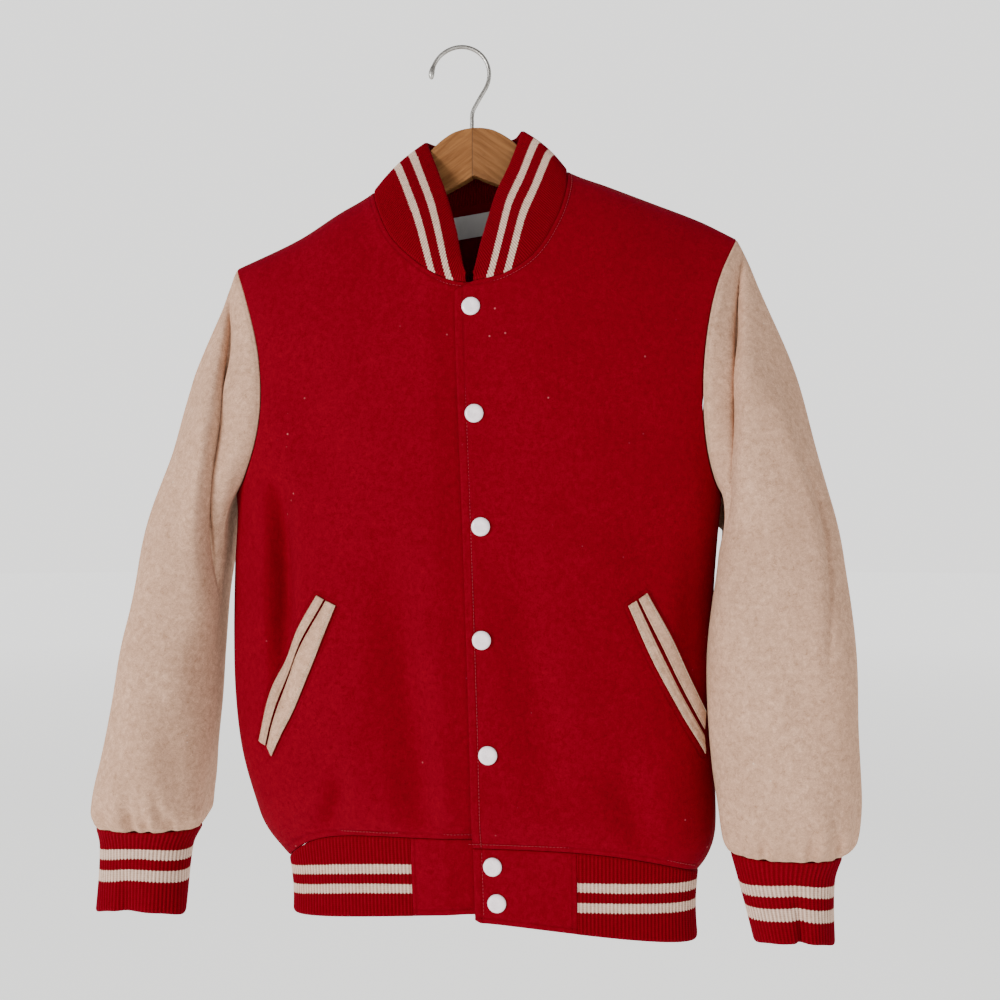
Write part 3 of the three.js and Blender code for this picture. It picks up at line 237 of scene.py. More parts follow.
def cloth_wall(name, grid, outward, thick, closed=False, turned=("top", "bottom", "start", "end"),
               roll=1.0, marks=None, uv=None, lift=None, smooth_n=None):
    """A wall of cloth on a grid of outer points, with its cut or folded edges turned over."""
    rows, cols = grid.shape[:2]
    n = grid_normals(grid, closed) if smooth_n is None else smooth_n
    if (n * outward).sum() < 0:
        n = -n
    down, over = run_lengths(grid, 0), run_lengths(grid, 1)
    gap = np.full((rows, cols), 9.0)
    for edge, away in (("top", down), ("bottom", down[-1] - down),
                       ("start", over), ("end", over[:, -1:] - over)):
        if edge in turned and not (closed and edge in ("start", "end")):
            gap = np.minimum(gap, away)
    t = np.clip(1 - gap / (roll * 2.2), 0, 1)
    sink = (roll * (1 - np.sqrt(1 - t ** 2 * 0.98)))[..., None]
    raised = 0 if lift is None else lift[..., None]
    outer = grid - n * (sink - raised)
    inner = grid - n * (thick - np.minimum(sink * 0.8, thick * 0.35) - raised)
    verts = np.concatenate([outer.reshape(-1, 3), inner.reshape(-1, 3)]) * MM
    index = np.arange(rows * cols).reshape(rows, cols)
    right = np.roll(index, -1, 1)
    a, b, c, d = index[:-1], index[1:], right[1:], right[:-1]
    if not closed:
        a, b, c, d = (m[:, :-1] for m in (a, b, c, d))
    quads = np.stack([a, b, c, d], -1).reshape(-1, 4)
    p = grid.reshape(-1, 3)[quads[len(quads) // 2]]
    side = np.cross(p[1] - p[0], p[2] - p[0]) @ n.reshape(-1, 3)[quads[len(quads) // 2][0]]
    if side < 0:
        quads = quads[:, ::-1]
    total = rows * cols
    ring = [index[0], index[-1]]
    faces = [quads, quads[:, ::-1] + total]
    for line, reverse in ((index[0], False), (index[-1], True)):
        line = np.append(line, line[0]) if closed else line
        rim = np.stack([line[:-1], line[1:], line[1:] + total, line[:-1] + total], -1)
        faces.append(rim if reverse == (side < 0) else rim[:, ::-1])
    if not closed:
        for line, reverse in ((index[:, 0], True), (index[:, -1], False)):
            rim = np.stack([line[:-1], line[1:], line[1:] + total, line[:-1] + total], -1)
            faces.append(rim if reverse == (side < 0) else rim[:, ::-1])
    mesh = bpy.data.meshes.new(name)
    mesh.from_pydata(verts.tolist(), [], np.concatenate(faces).tolist())
    mesh.polygons.foreach_set("use_smooth", np.ones(len(mesh.polygons), bool))
    if uv is None:
        uv = np.stack([over, down], -1)
    flat = np.concatenate([uv.reshape(-1, 2)] * 2) * MM
    layer = mesh.uv_layers.new(name="UVMap")
    corner = np.empty(len(mesh.loops), int)
    mesh.loops.foreach_get("vertex_index", corner)
    layer.data.foreach_set("uv", flat[corner].ravel())
    for key, values in (marks or {}).items():
        field = mesh.attributes.new(key, "FLOAT", "POINT")
        inside = values if key not in PLAIN_INSIDE else np.full(values.shape, -9.0)
        field.data.foreach_set("value", np.concatenate([values.ravel(), inside.ravel()]).astype(float))
    mesh.update()
    piece = bpy.data.objects.new(name, mesh)
    bpy.context.scene.collection.objects.link(piece)
    return piece


def sewn_in(piece, node):
    """The piece stands for a CAD node and goes with the garment."""
    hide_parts(node)
    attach(piece, "root")


def node(tree, kind, inputs=None, **settings):
    """A shader node with its settings, its constants and its links in one call."""
    made = tree.nodes.new(kind)
    for key, value in settings.items():
        setattr(made, key, value)
    for key, value in (inputs or {}).items():
        if isinstance(value, bpy.types.NodeSocket):
            tree.links.new(value, made.inputs[key])
        else:
            made.inputs[key].default_value = value
    return made


def calc(tree, operation, *values, clamp=False):
    return node(tree, "ShaderNodeMath", dict(enumerate(values)), operation=operation,
                use_clamp=clamp).outputs[0]


def blend_colour(tree, share, first, second):
    made = node(tree, "ShaderNodeMix", data_type="RGBA")
    for socket, value in (("Factor_Float", share), ("A_Color", first), ("B_Color", second)):
        target = next(s for s in made.inputs if s.identifier == socket)
        if isinstance(value, bpy.types.NodeSocket):
            tree.links.new(value, target)
        else:
            target.default_value = value
    return next(s for s in made.outputs if s.identifier == "Result_Color")


def ramp(tree, value, low, high, to_low=0.0, to_high=1.0):
    return node(tree, "ShaderNodeMapRange", {"Value": value, "From Min": low, "From Max": high,
                                             "To Min": to_low, "To Max": to_high}).outputs[0]


def shader_group(name, inputs, outputs):
    group = bpy.data.node_groups.new(name, "ShaderNodeTree")
    for label, kind, value in inputs:
        socket = group.interface.new_socket(label, in_out="INPUT", socket_type=kind)
        if value is not None:
            socket.default_value = value
    for label, kind in outputs:
        group.interface.new_socket(label, in_out="OUTPUT", socket_type=kind)
    return group, group.nodes.new("NodeGroupInput"), group.nodes.new("NodeGroupOutput")


def material(name):
    made = bpy.data.materials.new(name)
    made.use_nodes = True
    return made, made.node_tree, made.node_tree.nodes["Principled BSDF"]


def grouped(tree, group, inputs):
    made = node(tree, "ShaderNodeGroup", node_tree=group)
    for key, value in inputs.items():
        if isinstance(value, bpy.types.NodeSocket):
            tree.links.new(value, made.inputs[key])
        else:
            made.inputs[key].default_value = value
    return made


nap, nap_in, nap_out = shader_group(
    "brushed_nap", [("Vector", "NodeSocketVector", None), ("Fineness", "NodeSocketFloat", 1.0)],
    [("Height", "NodeSocketFloat"), ("Mottle", "NodeSocketFloat"), ("Lint", "NodeSocketFloat")])
fine = calc(nap, "MULTIPLY", nap_in.outputs["Fineness"], 950.0)
broad = calc(nap, "MULTIPLY", nap_in.outputs["Fineness"], 230.0)
fibre = node(nap, "ShaderNodeTexNoise", {"Vector": nap_in.outputs["Vector"], "Scale": fine,
                                         "Detail": 5.0, "Roughness": 0.65, "Distortion": 1.4})
tuft = node(nap, "ShaderNodeTexNoise", {"Vector": nap_in.outputs["Vector"], "Scale": broad,
                                        "Detail": 4.0, "Roughness": 0.6, "Distortion": 0.6})
cloud = node(nap, "ShaderNodeTexNoise", {"Vector": nap_in.outputs["Vector"], "Scale": 16.0,
                                         "Detail": 5.0, "Roughness": 0.6})
speck = node(nap, "ShaderNodeTexVoronoi", {"Vector": nap_in.outputs["Vector"], "Scale": 95.0})
sparse = node(nap, "ShaderNodeTexNoise", {"Vector": nap_in.outputs["Vector"], "Scale": 31.0,
                                          "Detail": 2.0})
height = calc(nap, "ADD", calc(nap, "MULTIPLY", fibre.outputs["Fac"], 0.6),
              calc(nap, "MULTIPLY", tuft.outputs["Fac"], 0.4))
lint = calc(nap, "MULTIPLY", ramp(nap, speck.outputs["Distance"], 0.10, 0.04),
            ramp(nap, sparse.outputs["Fac"], 0.60, 0.68))
for label, value in (("Height", height), ("Mottle", cloud.outputs["Fac"]), ("Lint", lint)):
    nap.links.new(value, nap_out.inputs[label])

sewn_line, line_in, line_out = shader_group(
    "sewn_line", [("Distance", "NodeSocketFloat", 0.0), ("Offset", "NodeSocketFloat", 7.0),
                  ("Width", "NodeSocketFloat", 1.2)], [("Mask", "NodeSocketFloat")])
away = calc(sewn_line, "ABSOLUTE", calc(sewn_line, "SUBTRACT", line_in.outputs["Distance"],
                                        line_in.outputs["Offset"]))
away = calc(sewn_line, "DIVIDE", away, line_in.outputs["Width"])
bell = calc(sewn_line, "EXPONENT", calc(sewn_line, "MULTIPLY", calc(sewn_line, "MULTIPLY", away, away), -1.0))
sewn_line.links.new(bell, line_out.inputs["Mask"])

# RED_DEEP is the painted shade of the nap's hollows and of the sewn grooves, and the dark end of the uneven dye;
# RED_FACE the raised nap; RED_LINT the lint specks
RED_DEEP = (0.120, 0.0, 0.0045, 1)
RED_FACE = (0.200, 0.0, 0.0085, 1)
RED_LINT = (0.62, 0.16, 0.17, 1)


def wool_material(name, deep, face, lint_colour, lint_share, lines=(), fineness=1.0, bump=0.0007):
    """Felted wool cloth: a short nap over the weave that is darker in its hollows as painted shade, uneven dye, lint,
    and pressed sewn lines darkened with painted shade in their grooves.
    """
    made, tree, surface = material(name)
    place = node(tree, "ShaderNodeTexCoord").outputs["Object"]
    cloth = grouped(tree, nap, {"Vector": place, "Fineness": fineness})
    # painted shade: the colour runs from deep where the nap lies low to face on its raised fibres
    tone = ramp(tree, cloth.outputs["Height"], 0.36, 0.64)
    colour = blend_colour(tree, tone, deep, face)
    shade = ramp(tree, cloth.outputs["Mottle"], 0.35, 0.68, 0.0, 0.25)
    colour = blend_colour(tree, shade, colour, deep)
    colour = blend_colour(tree, calc(tree, "MULTIPLY", cloth.outputs["Lint"], lint_share),
                          colour, lint_colour)
    height = cloth.outputs["Height"]
    for mark, offset, width, depth in lines:
        read = node(tree, "ShaderNodeAttribute", attribute_name=mark)
        mask = grouped(tree, sewn_line, {"Distance": read.outputs["Fac"], "Offset": offset,
                                         "Width": width}).outputs["Mask"]
        height = calc(tree, "SUBTRACT", height, calc(tree, "MULTIPLY", mask, depth))
        # painted shade: the colour darkens along each sewn line's groove, towards half the deep colour
        dark = tuple(c * 0.5 for c in deep[:3]) + (1,)
        colour = blend_colour(tree, calc(tree, "MULTIPLY", mask, 0.22), colour, dark)
    raised = node(tree, "ShaderNodeBump", {"Height": height, "Strength": 0.75, "Distance": bump})
    tree.links.new(colour, surface.inputs["Base Color"])
    tree.links.new(raised.outputs["Normal"], surface.inputs["Normal"])
    rough = ramp(tree, cloth.outputs["Height"], 0.3, 0.7, 0.98, 0.86)
    tree.links.new(rough, surface.inputs["Roughness"])
    surface.inputs["Specular IOR Level"].default_value = 0.05
    surface.inputs["Sheen Weight"].default_value = 0.03
    surface.inputs["Sheen Roughness"].default_value = 0.45
    surface.inputs["Sheen Tint"].default_value = tuple(min(1, c * 2.0 + 0.01) for c in face[:3]) + (1,)
    return made


# painted shade darkens the grooves of the sewn lines by the over front's edge, round the neck, above the hem, on the
# tabs and round the pockets
red_wool = wool_material("red_wool", RED_DEEP, RED_FACE, RED_LINT, 0.5, lines=(
    ("edge_mm", 7.5, 1.1, 0.7), ("neck_mm", 4.0, 1.1, 0.7), ("hem_mm", 5.0, 1.1, 0.6),
    ("tab_mm", 4.0, 1.1, 0.5), ("pocket_mm", 3.0, 1.1, 0.5)))


def by_path(path, x, z):
    """Distance to a path, below 0 on its left, and the path's other columns where it is nearest."""
    rows = along(path, np.linspace(0, 1, 60))
    best = np.full(np.shape(x), 1e9)
    found = [np.zeros(np.shape(x)) for _ in range(rows.shape[1] - 1)]
    for a, b in zip(rows[:-1], rows[1:]):
        dx, dz = b[0] - a[0], b[1] - a[1]
        t = np.clip(((x - a[0]) * dx + (z - a[1]) * dz) / (dx * dx + dz * dz), 0, 1)
        away = np.hypot(x - a[0] - t * dx, z - a[1] - t * dz)
        near = away < best
        best = np.where(near, away, best)
        turn = (x - a[0]) * dz - (z - a[1]) * dx
        here = [np.where(turn > 0, -away, away)] + [a[k] + (b[k] - a[k]) * t for k in range(2, len(a))]
        found = [np.where(near, new, old) for new, old in zip(here, found)]
    return found


def pressed(paths, x, z):
    """Depth of soft folds along paths: x, height, depth, and width to each side of the path."""
    depth = np.zeros(np.shape(x))
    for path in paths:
        away, deep, first, second = by_path(path, x, z)
        depth = depth + deep * np.exp(-(away / np.where(away < 0, first, second)) ** 2)
    return depth


def seam_fade(grid, reach=22.0):
    """0 at the piece's own edges and 1 from a little way inside them."""
    down, over = run_lengths(grid, 0), run_lengths(grid, 1)
    gap = np.minimum(np.minimum(down, down[-1] - down), np.minimum(over, over[:, -1:] - over))
    return smoothstep(gap, 1.5, reach)


def creased(grid, depth, outward):
    n = grid_normals(grid)
    if (n * outward).sum() < 0:
        n = -n
    return grid - n * (depth * seam_fade(grid))[..., None]


def waver(x, z, phase):
    """Uneven rise and fall of cloth that hangs free, in mm."""
    return (0.9 * np.sin(x / 37 + phase + 0.6 * np.sin(z / 90)) * np.sin(z / 130 + 2 * phase)
            + 0.6 * np.sin(x / 19 + z / 61 + 3 * phase) + 0.5 * np.sin(z / 33 + x / 80 + phase))


BACK_FOLDS = [
    [(-150, -300, 0, 22, 22), (-120, -400, 3, 24, 24), (-104, -520, 5, 26, 24), (-100, -690, 0, 24, 24)],
    [(40, -280, 0, 24, 24), (30, -380, 2.5, 26, 26), (22, -520, 4, 28, 24), (20, -680, 0, 24, 24)],
    [(150, -330, 0, 22, 22), (140, -430, 4, 24, 24), (128, -560, 5, 24, 24), (120, -700, 0, 24, 24)]]


def back_grid(columns, rows):
    arm, low, neck = 60, 60, 60
    edge = {side: np.vstack([armhole_places(side, "back", arm), side_places(side, low)])
            for side in ("left", "right")}
    top = np.vstack([shoulder_places("left", "back", neck),
                     places("back", along(NECK["back"], np.linspace(0, 1, neck + 1)))[1:-1],
                     shoulder_places("right", "back", neck)[::-1]])
    share = (top[:, 0] - top[0, 0]) / (top[-1, 0] - top[0, 0]) - 0.5
    q = np.sin(share * math.pi) * 0.35 + share * 1.3
    bottom = np.column_stack([q, hem_seam("back", q)])
    q, z = filled(top, bottom, edge["left"], edge["right"], soft_ends(columns), soft_ends(rows))
    return body_point("back", q, z)


back_net = back_grid(150, 150)
x, z = back_net[..., 0], back_net[..., 2]
back = cloth_wall("back_panel", creased(back_net, pressed(BACK_FOLDS, x, z) + waver(x, z, 0.7), (0, 1, 0)),
                  (0, 1, 0), WOOL)
back.data.materials.append(red_wool)
sewn_in(back, "back")

# Fronts
# Two panels of the same melton, sewn to the back at shoulders and sides. The one on the
# viewer's right laps over the other and is snapped to it, with a line of stitching by its edge.
FRONT_EDGE = [(-200, 3), (-260, 4), (-420, 11), (-590, 17), (-727, 19.5), (-800, 20)]
UNDER_TOP = (38, -226)
LAP = WOOL + 1
TAB_SHARE = {"left": 0.568, "right": 0.539}
FRONT_FOLDS = {
    "left": [
        [(-162, -388, 0, 9, 14), (-157, -430, 12, 9, 14), (-155, -500, 17, 9, 14),
         (-154, -560, 11, 9, 15), (-150, -620, 0, 12, 15)],
        [(-50, -430, 0, 24, 15), (-42, -530, 9, 24, 14), (-32, -610, 12, 24, 13),
         (-24, -690, 9, 22, 13), (-22, -712, 2, 18, 13)],
        [(-150, -300, 0, 20, 26), (-120, -360, 2.2, 20, 28), (-80, -430, 0, 20, 26)],
        [(-92, -640, 0, 12, 12), (-100, -680, 8, 9, 9), (-112, -708, 6, 8, 8)],
        [(-60, -560, 0, 14, 18), (-66, -620, 2.5, 14, 18), (-74, -690, 1, 12, 16)]],
    "right": [
        [(150, -420, 0, 24, 26), (168, -480, 3, 24, 26), (160, -560, 0, 24, 26)],
        [(52, -430, 0, 24, 22), (64, -520, 4.5, 24, 20), (80, -620, 6.5, 24, 20), (90, -700, 0, 18, 16)],
        [(140, -630, 0, 18, 18), (156, -680, 7, 18, 18), (166, -722, 2, 12, 12)],
        [(210, -440, 0, 12, 14), (206, -520, 3.5, 12, 14), (200, -600, 1, 12, 14), (198, -640, 0, 12, 12)]]}
POCKETS = {  # from top to bottom: outer edge, slit's outer side, slit's inner side, inner edge
    "left": [(-116, -502, -108.6, -506, -107.4, -506.6, -98, -511),
             (-155, -567, -147.6, -573, -146.2, -574, -127, -579),
             (-173, -632, -165.8, -635.5, -164.6, -636, -160, -645)],
    "right": [(169, -499, 161, -504.5, 159.6, -505.4, 152, -510),
              (195, -549, 186.5, -558, 184, -559.5, 175, -563),
              (217, -601, 215.5, -617, 215, -621, 216, -638)]}


def front_edge(z):
    return smooth_table(FRONT_EDGE, z)[..., 0]


def lap_depth(x, z):
    return LAP * smoothstep(x, front_edge(z) - 26, front_edge(z) - 1)


def front_point(side, q, z):
    point = body_point(side, q, z)
    if side == "left":
        point[..., 1] += lap_depth(point[..., 0], point[..., 2])
    return point


def front_edges(side, step=6):
    out = -1 if side == "left" else 1
    outside = np.vstack([armhole_places(side, "front", 14 * step), side_places(side, 10 * step)])
    neck = along(NECK[side], np.linspace(0, 1, 7 * step + 1))
    corner = np.array(UNDER_TOP if side == "left" else (front_edge(-237), -237.0), float)
    turn = neck[-1] + (corner - neck[-1]) * np.linspace(0, 1, step + 1)[1:, None]
    z = corner[1] + (HEM_LEVELS[side][0] - corner[1]) * (np.arange(1, 16 * step + 1) / (16 * step)) ** 0.92
    edge = np.column_stack([front_edge(z) + (36 if side == "left" else 0), z])
    inside = places(side, np.vstack([neck, turn, edge]))
    q = np.linspace(out, inside[-1, 0], 60)
    bottom = np.column_stack([q, hem_seam(side, q)])
    return shoulder_places(side, side, 60), bottom, outside, inside


def path_distance(line, x, z):
    """Distance seen from the front to a line of points."""
    best = np.full(np.shape(x), 1e9)
    for (ax, az), (bx, bz) in zip(line[:-1], line[1:]):
        dx, dz = bx - ax, bz - az
        t = np.clip(((x - ax) * dx + (z - az) * dz) / max(dx * dx + dz * dz, 1e-9), 0, 1)
        best = np.minimum(best, np.hypot(x - ax - t * dx, z - az - t * dz))
    return best


def pocket_outline(side):
    rows = np.array(POCKETS[side], float)
    outer, inner = along(rows[:, 0:2], np.linspace(0, 1, 16)), along(rows[:, 6:8], np.linspace(0, 1, 16))
    return np.vstack([outer, inner[::-1], outer[:1]])


fronts = {}
for side in ("left", "right"):
    q, z = filled(*front_edges(side), soft_ends(84), soft_ends(170))
    net = front_point(side, q, z)
    x, z = net[..., 0], net[..., 2]
    folds = pressed(FRONT_FOLDS[side], x, z) + waver(x, z, 0.2 if side == "left" else 1.9) * 0.8
    marks = {
        "edge_mm": x - front_edge(z) if side == "right" else np.full(x.shape, -50.0),
        "neck_mm": path_distance(along(NECK[side], np.linspace(0, 1, 30)), x, z),
        "hem_mm": z - hem_seam(side, q),
        "pocket_mm": path_distance(pocket_outline(side), x, z)}
    shaped = creased(net, folds, (0, -1, 0))
    fronts[side] = cloth_wall(f"front_panel_{side}", shaped, (0, -1, 0), WOOL, marks=marks)
    fronts[side].data.materials.append(red_wool)
    sewn_in(fronts[side], f"front_{side}")


def front_place(side, x, z):
    """Point and outward normal of a front at a place seen from the front."""
    x, z = np.asarray(x, float), np.asarray(z, float)
    at = lambda dx, dz: front_point(side, share_at(side, x + dx, z + dz), z + dz)
    n = np.cross(at(1, 0) - at(-1, 0), at(0, 1) - at(0, -1))
    n = n / np.linalg.norm(n, axis=-1, keepdims=True)
    n = np.where(n[..., 1:2] > 0, -n, n)
    phase = 0.2 if side == "left" else 1.9
    dip = pressed(FRONT_FOLDS[side], x, z) + waver(x, z, phase) * 0.8
    return at(0, 0) - n * dip[..., None], n

# Pocket welts
# Each slant pocket has two strips of cream wool, sewn down along both sides of its slit.
# CREAM_DEEP is the painted shade of the nap's hollows and of the sewn grooves, and the dark end of the uneven dye;
# CREAM_FACE the raised nap; CREAM_LINT the lint specks
CREAM_DEEP = (0.33, 0.185, 0.115, 1)
CREAM_FACE = (0.70, 0.43, 0.295, 1)
CREAM_LINT = (0.80, 0.72, 0.60, 1)
# painted shade darkens the grooves along the welts' sewn edges and along the sleeves' armhole seams
cream_wool = wool_material("cream_wool", CREAM_DEEP, CREAM_FACE, CREAM_LINT, 0.35, lines=(
    ("welt_mm", 1.9, 0.8, 0.7), ("arm_mm", 3.2, 1.3, 0.3)), fineness=0.85, bump=0.0006)
for side in ("left", "right"):
    rows = np.array(POCKETS[side], float)
    for part, first, second in (("outer", 0, 2), ("inner", 4, 6)):
        shares = soft_ends(46)
        across = soft_ends(9)
        a = along(rows[:, first:first + 2], shares)[:, None]
        b = along(rows[:, second:second + 2], shares)[:, None]
        flat = a + (b - a) * across[None, :, None]
        base, n = front_place(side, flat[..., 0], flat[..., 1])
        crown = 2.45 + 0.55 * np.sin(math.pi * across)[None, :] ** 0.6
        crown = crown + 0.25 * np.sin(flat[..., 1] / 7.3) * np.sin(math.pi * across)[None, :]
        if part == "inner":   # its inner part is creased along the slit
            crown = crown - 0.5 * np.exp(-((across[None, :] - 0.42) / 0.09) ** 2)
        edge = np.minimum(across, 1 - across)[None, :] * np.linalg.norm(b - a, axis=-1)
        name = f"welt_{side}_{part}"
        strip = cloth_wall(f"{name}_strip", base + n * crown[..., None], (0, -1, 0), 1.9, roll=0.9,
                           marks={"welt_mm": edge}, uv=np.dstack([edge, shares[:, None] * 150 + 0 * edge]))
        strip.data.materials.append(cream_wool)
        sewn_in(strip, name)

# Hem
# A rib-knit band round the body between two plain wool tabs that meet at the snaps. The rib
# is red with two cream stripes knitted in.
RIB = 2.6
RELIEF = 0.9
HEM_STRIPES = [(17.2, 25), (34.1, 41.9)]
# the height that the stripes are counted from, in the middle and at the side
STRIPE_TOP = {"left": -716.5, "right": -728, "back": -718}
STRIPE_SIDE = (-731, -732)
# the first colour of each pair is painted shade for the grooves between the ribs, the second the colour of the crests
RIB_RED_GROOVE_SHADE = (0.085, 0.0, 0.002, 1)
RIB_RED_FACE = (0.20, 0.0, 0.0085, 1)
RIB_CREAM_GROOVE_SHADE = (0.26, 0.15, 0.105, 1)
RIB_CREAM_FACE = (0.85, 0.62, 0.49, 1)

rib_knit, tree, surface = material("rib_knit")
place = node(tree, "ShaderNodeTexCoord").outputs["Object"]
yarn = node(tree, "ShaderNodeUVMap", uv_map="UVMap").outputs["UV"]
parts = node(tree, "ShaderNodeSeparateXYZ", {"Vector": yarn})
stripe = node(tree, "ShaderNodeAttribute", attribute_name="stripe_mm").outputs["Fac"]
crest = node(tree, "ShaderNodeAttribute", attribute_name="crest").outputs["Fac"]
wander = node(tree, "ShaderNodeTexNoise", {"Vector": place, "Scale": 420.0, "Detail": 2.0})
slow = node(tree, "ShaderNodeTexNoise", {"Vector": place, "Scale": 34.0, "Detail": 2.0})
edge = calc(tree, "ADD", stripe, calc(tree, "MULTIPLY", calc(tree, "SUBTRACT", wander.outputs["Fac"], 0.5), 1.0))
edge = calc(tree, "ADD", edge, calc(tree, "MULTIPLY", calc(tree, "SUBTRACT", slow.outputs["Fac"], 0.5), 0.9))
edge = calc(tree, "ADD", edge, calc(tree, "MULTIPLY", calc(tree, "SUBTRACT", crest, 0.5), 0.7))
cream = ramp(tree, edge, -0.25, 0.25)
# loops up each rib: a chevron of yarn every 1.7 mm
bend = calc(tree, "MULTIPLY", crest, 0.9)
loop = calc(tree, "SINE", calc(tree, "ADD", calc(tree, "MULTIPLY", parts.outputs["Y"], 2 * math.pi / 0.0017),
                               calc(tree, "MULTIPLY", bend, 2.2)))
fuzz = grouped(tree, nap, {"Vector": place, "Fineness": 1.25})
# painted shade: the colour is darker in the grooves between the ribs, between the yarn loops and in the nap's hollows,
# and lighter on the crests
tone = calc(tree, "ADD", calc(tree, "MULTIPLY", crest, 0.55),
            calc(tree, "MULTIPLY", ramp(tree, fuzz.outputs["Height"], 0.36, 0.64), 0.35))
tone = calc(tree, "ADD", tone, calc(tree, "MULTIPLY", loop, 0.07), clamp=True)
red = blend_colour(tree, tone, RIB_RED_GROOVE_SHADE, RIB_RED_FACE)
pale_rib = blend_colour(tree, tone, RIB_CREAM_GROOVE_SHADE, RIB_CREAM_FACE)
colour = blend_colour(tree, cream, red, pale_rib)
tree.links.new(colour, surface.inputs["Base Color"])
height = calc(tree, "ADD", calc(tree, "MULTIPLY", fuzz.outputs["Height"], 0.55),
              calc(tree, "MULTIPLY", loop, calc(tree, "MULTIPLY", crest, 0.22)))
raised = node(tree, "ShaderNodeBump", {"Height": height, "Strength": 0.7, "Distance": 0.0006})
tree.links.new(raised.outputs["Normal"], surface.inputs["Normal"])
surface.inputs["Roughness"].default_value = 0.92
surface.inputs["Specular IOR Level"].default_value = 0.05


def in_stripes(distance, stripes):
    """How far inside a stripe a place is, in mm, and below 0 outside them."""
    inside = [np.minimum(distance - low, high - distance) for low, high in stripes]
    return np.maximum.reduce(inside)


def ribbed(name, grid, outward, pitch, stripe_mm, turned, closed=False, roll=0.9):
    """Rib knit on a smooth grid whose columns are even steps round the band."""
    middle = grid[len(grid) // 2]
    loop = np.vstack([middle, middle[:1]]) if closed else middle
    length = np.concatenate([[0], np.cumsum(np.linalg.norm(np.diff(loop, axis=0), axis=1))])
    count = max(4, round(length[-1] / pitch))
    phase = length[:len(middle)] / length[-1] * count
    crest = np.broadcast_to(0.5 + 0.5 * np.cos(2 * math.pi * phase), grid.shape[:2])
    n = grid_normals(grid, closed)
    if (n * outward).sum() < 0:
        n = -n
    down = run_lengths(grid, 0)
    ease = smoothstep(down, 0, 3) if "top" in turned else 1.0
    ease = ease * (smoothstep(down[-1] - down, 0, 3) if "bottom" in turned else 1.0)
    lift = RELIEF * (crest ** 0.75) * (0.35 + 0.65 * ease)
    uv = np.dstack([np.broadcast_to(phase * pitch, down.shape), down])
    return cloth_wall(name, grid, outward, RIB, closed, turned, roll, uv=uv, lift=lift, smooth_n=n,
                      marks={"stripe_mm": stripe_mm, "crest": crest})


def band_places():
    """Round the hem band from the left tab's end, by the back, to the right tab's end."""
    ends = {}
    for side in ("left", "right"):
        z = HEM_LEVELS[side][0]
        x = front_edge(z) + (36 if side == "left" else 0)
        out = -1 if side == "left" else 1
        inner = share_at(side, np.array(x), np.array(float(z)))
        ends[side] = (out + (inner - out) * TAB_SHARE[side], float(inner))
    legs = [("left", np.linspace(ends["left"][0], -1, 200)), ("back", np.linspace(-1, 1, 600)[1:]),
            ("right", np.linspace(1, ends["right"][0], 200)[1:])]
    return ends, legs


def hem_points(face, q, v):
    """The band at shares q round it and v down from its seam."""
    top, low = hem_seam(face, q), hem_low(face, q)
    first = oval_point(np.array(HEM_TOP, float), face, q, top)
    last = oval_point(np.array(HEM_BOTTOM, float), face, q, low)
    return first[None] + (last - first)[None] * v[:, None, None]


tab_ends, legs = band_places()
v = soft_ends(22)
whole = np.concatenate([hem_points(face, q, v) for face, q in legs], axis=1)
start = np.concatenate([STRIPE_TOP[face] + (np.where(q < 0, *STRIPE_SIDE) - STRIPE_TOP[face]) * np.abs(q) ** 3
                        for face, q in legs])
length = run_lengths(whole, 1)[len(v) // 2]
even = np.linspace(0, length[-1], round(length[-1] / 3.3) * 5 + 1)
net = np.stack([np.stack([np.interp(even, length, row[:, k]) for k in range(3)], -1) for row in whole])
bow = -1.6 * np.sin(math.pi * v)[:, None] + 0.7 * np.sin(even / 23)[None] * np.sin(math.pi * v)[:, None]
n = grid_normals(net)
n = n if (n[..., 1] * net[..., 1]).sum() > 0 else -n
net = net + n * (bow * 0.8)[..., None]
drop = np.interp(even, length, start)[None] - net[..., 2]
band = ribbed("hem_band", net, n, 3.3, in_stripes(drop, HEM_STRIPES),
              ("top", "bottom", "start", "end"))
band.data.materials.append(rib_knit)
sewn_in(band, "hem_rib")

tabs = {}
for side in ("left", "right"):
    q = tab_ends[side][0] + (tab_ends[side][1] - tab_ends[side][0]) * soft_ends(36)
    net = hem_points(side, q, soft_ends(26))
    if side == "left":
        net[..., 1] += lap_depth(net[..., 0], net[..., 2])
    if side == "right":    # its lower corner at the opening is sewn round
        x, z = net[..., 0], net[..., 2]
        near = smoothstep(front_edge(z) + 9 - x, 0, 9)
        low = hem_low("right", np.broadcast_to(q, x.shape))
        net[..., 2] += 3.0 * near ** 2 * smoothstep(z, low + 12, low)
    x, z = net[..., 0], net[..., 2]
    marks = {"edge_mm": x - front_edge(z) if side == "right" else np.full(x.shape, -50.0),
             "tab_mm": np.abs(run_lengths(net, 1)[:, -1:] * (0) + run_lengths(net, 1)),
             "hem_mm": z - hem_low(side, np.broadcast_to(q, x.shape)),
             "neck_mm": np.full(x.shape, 90.0), "pocket_mm": np.full(x.shape, 90.0)}
    tabs[side] = cloth_wall(f"hem_tab_{side}_cloth", creased(net, 0.5 * waver(x, z, 2.4), (0, -1, 0)),
                            (0, -1, 0), WOOL, marks=marks)
    tabs[side].data.materials.append(red_wool)
    sewn_in(tabs[side], f"hem_tab_{side}")

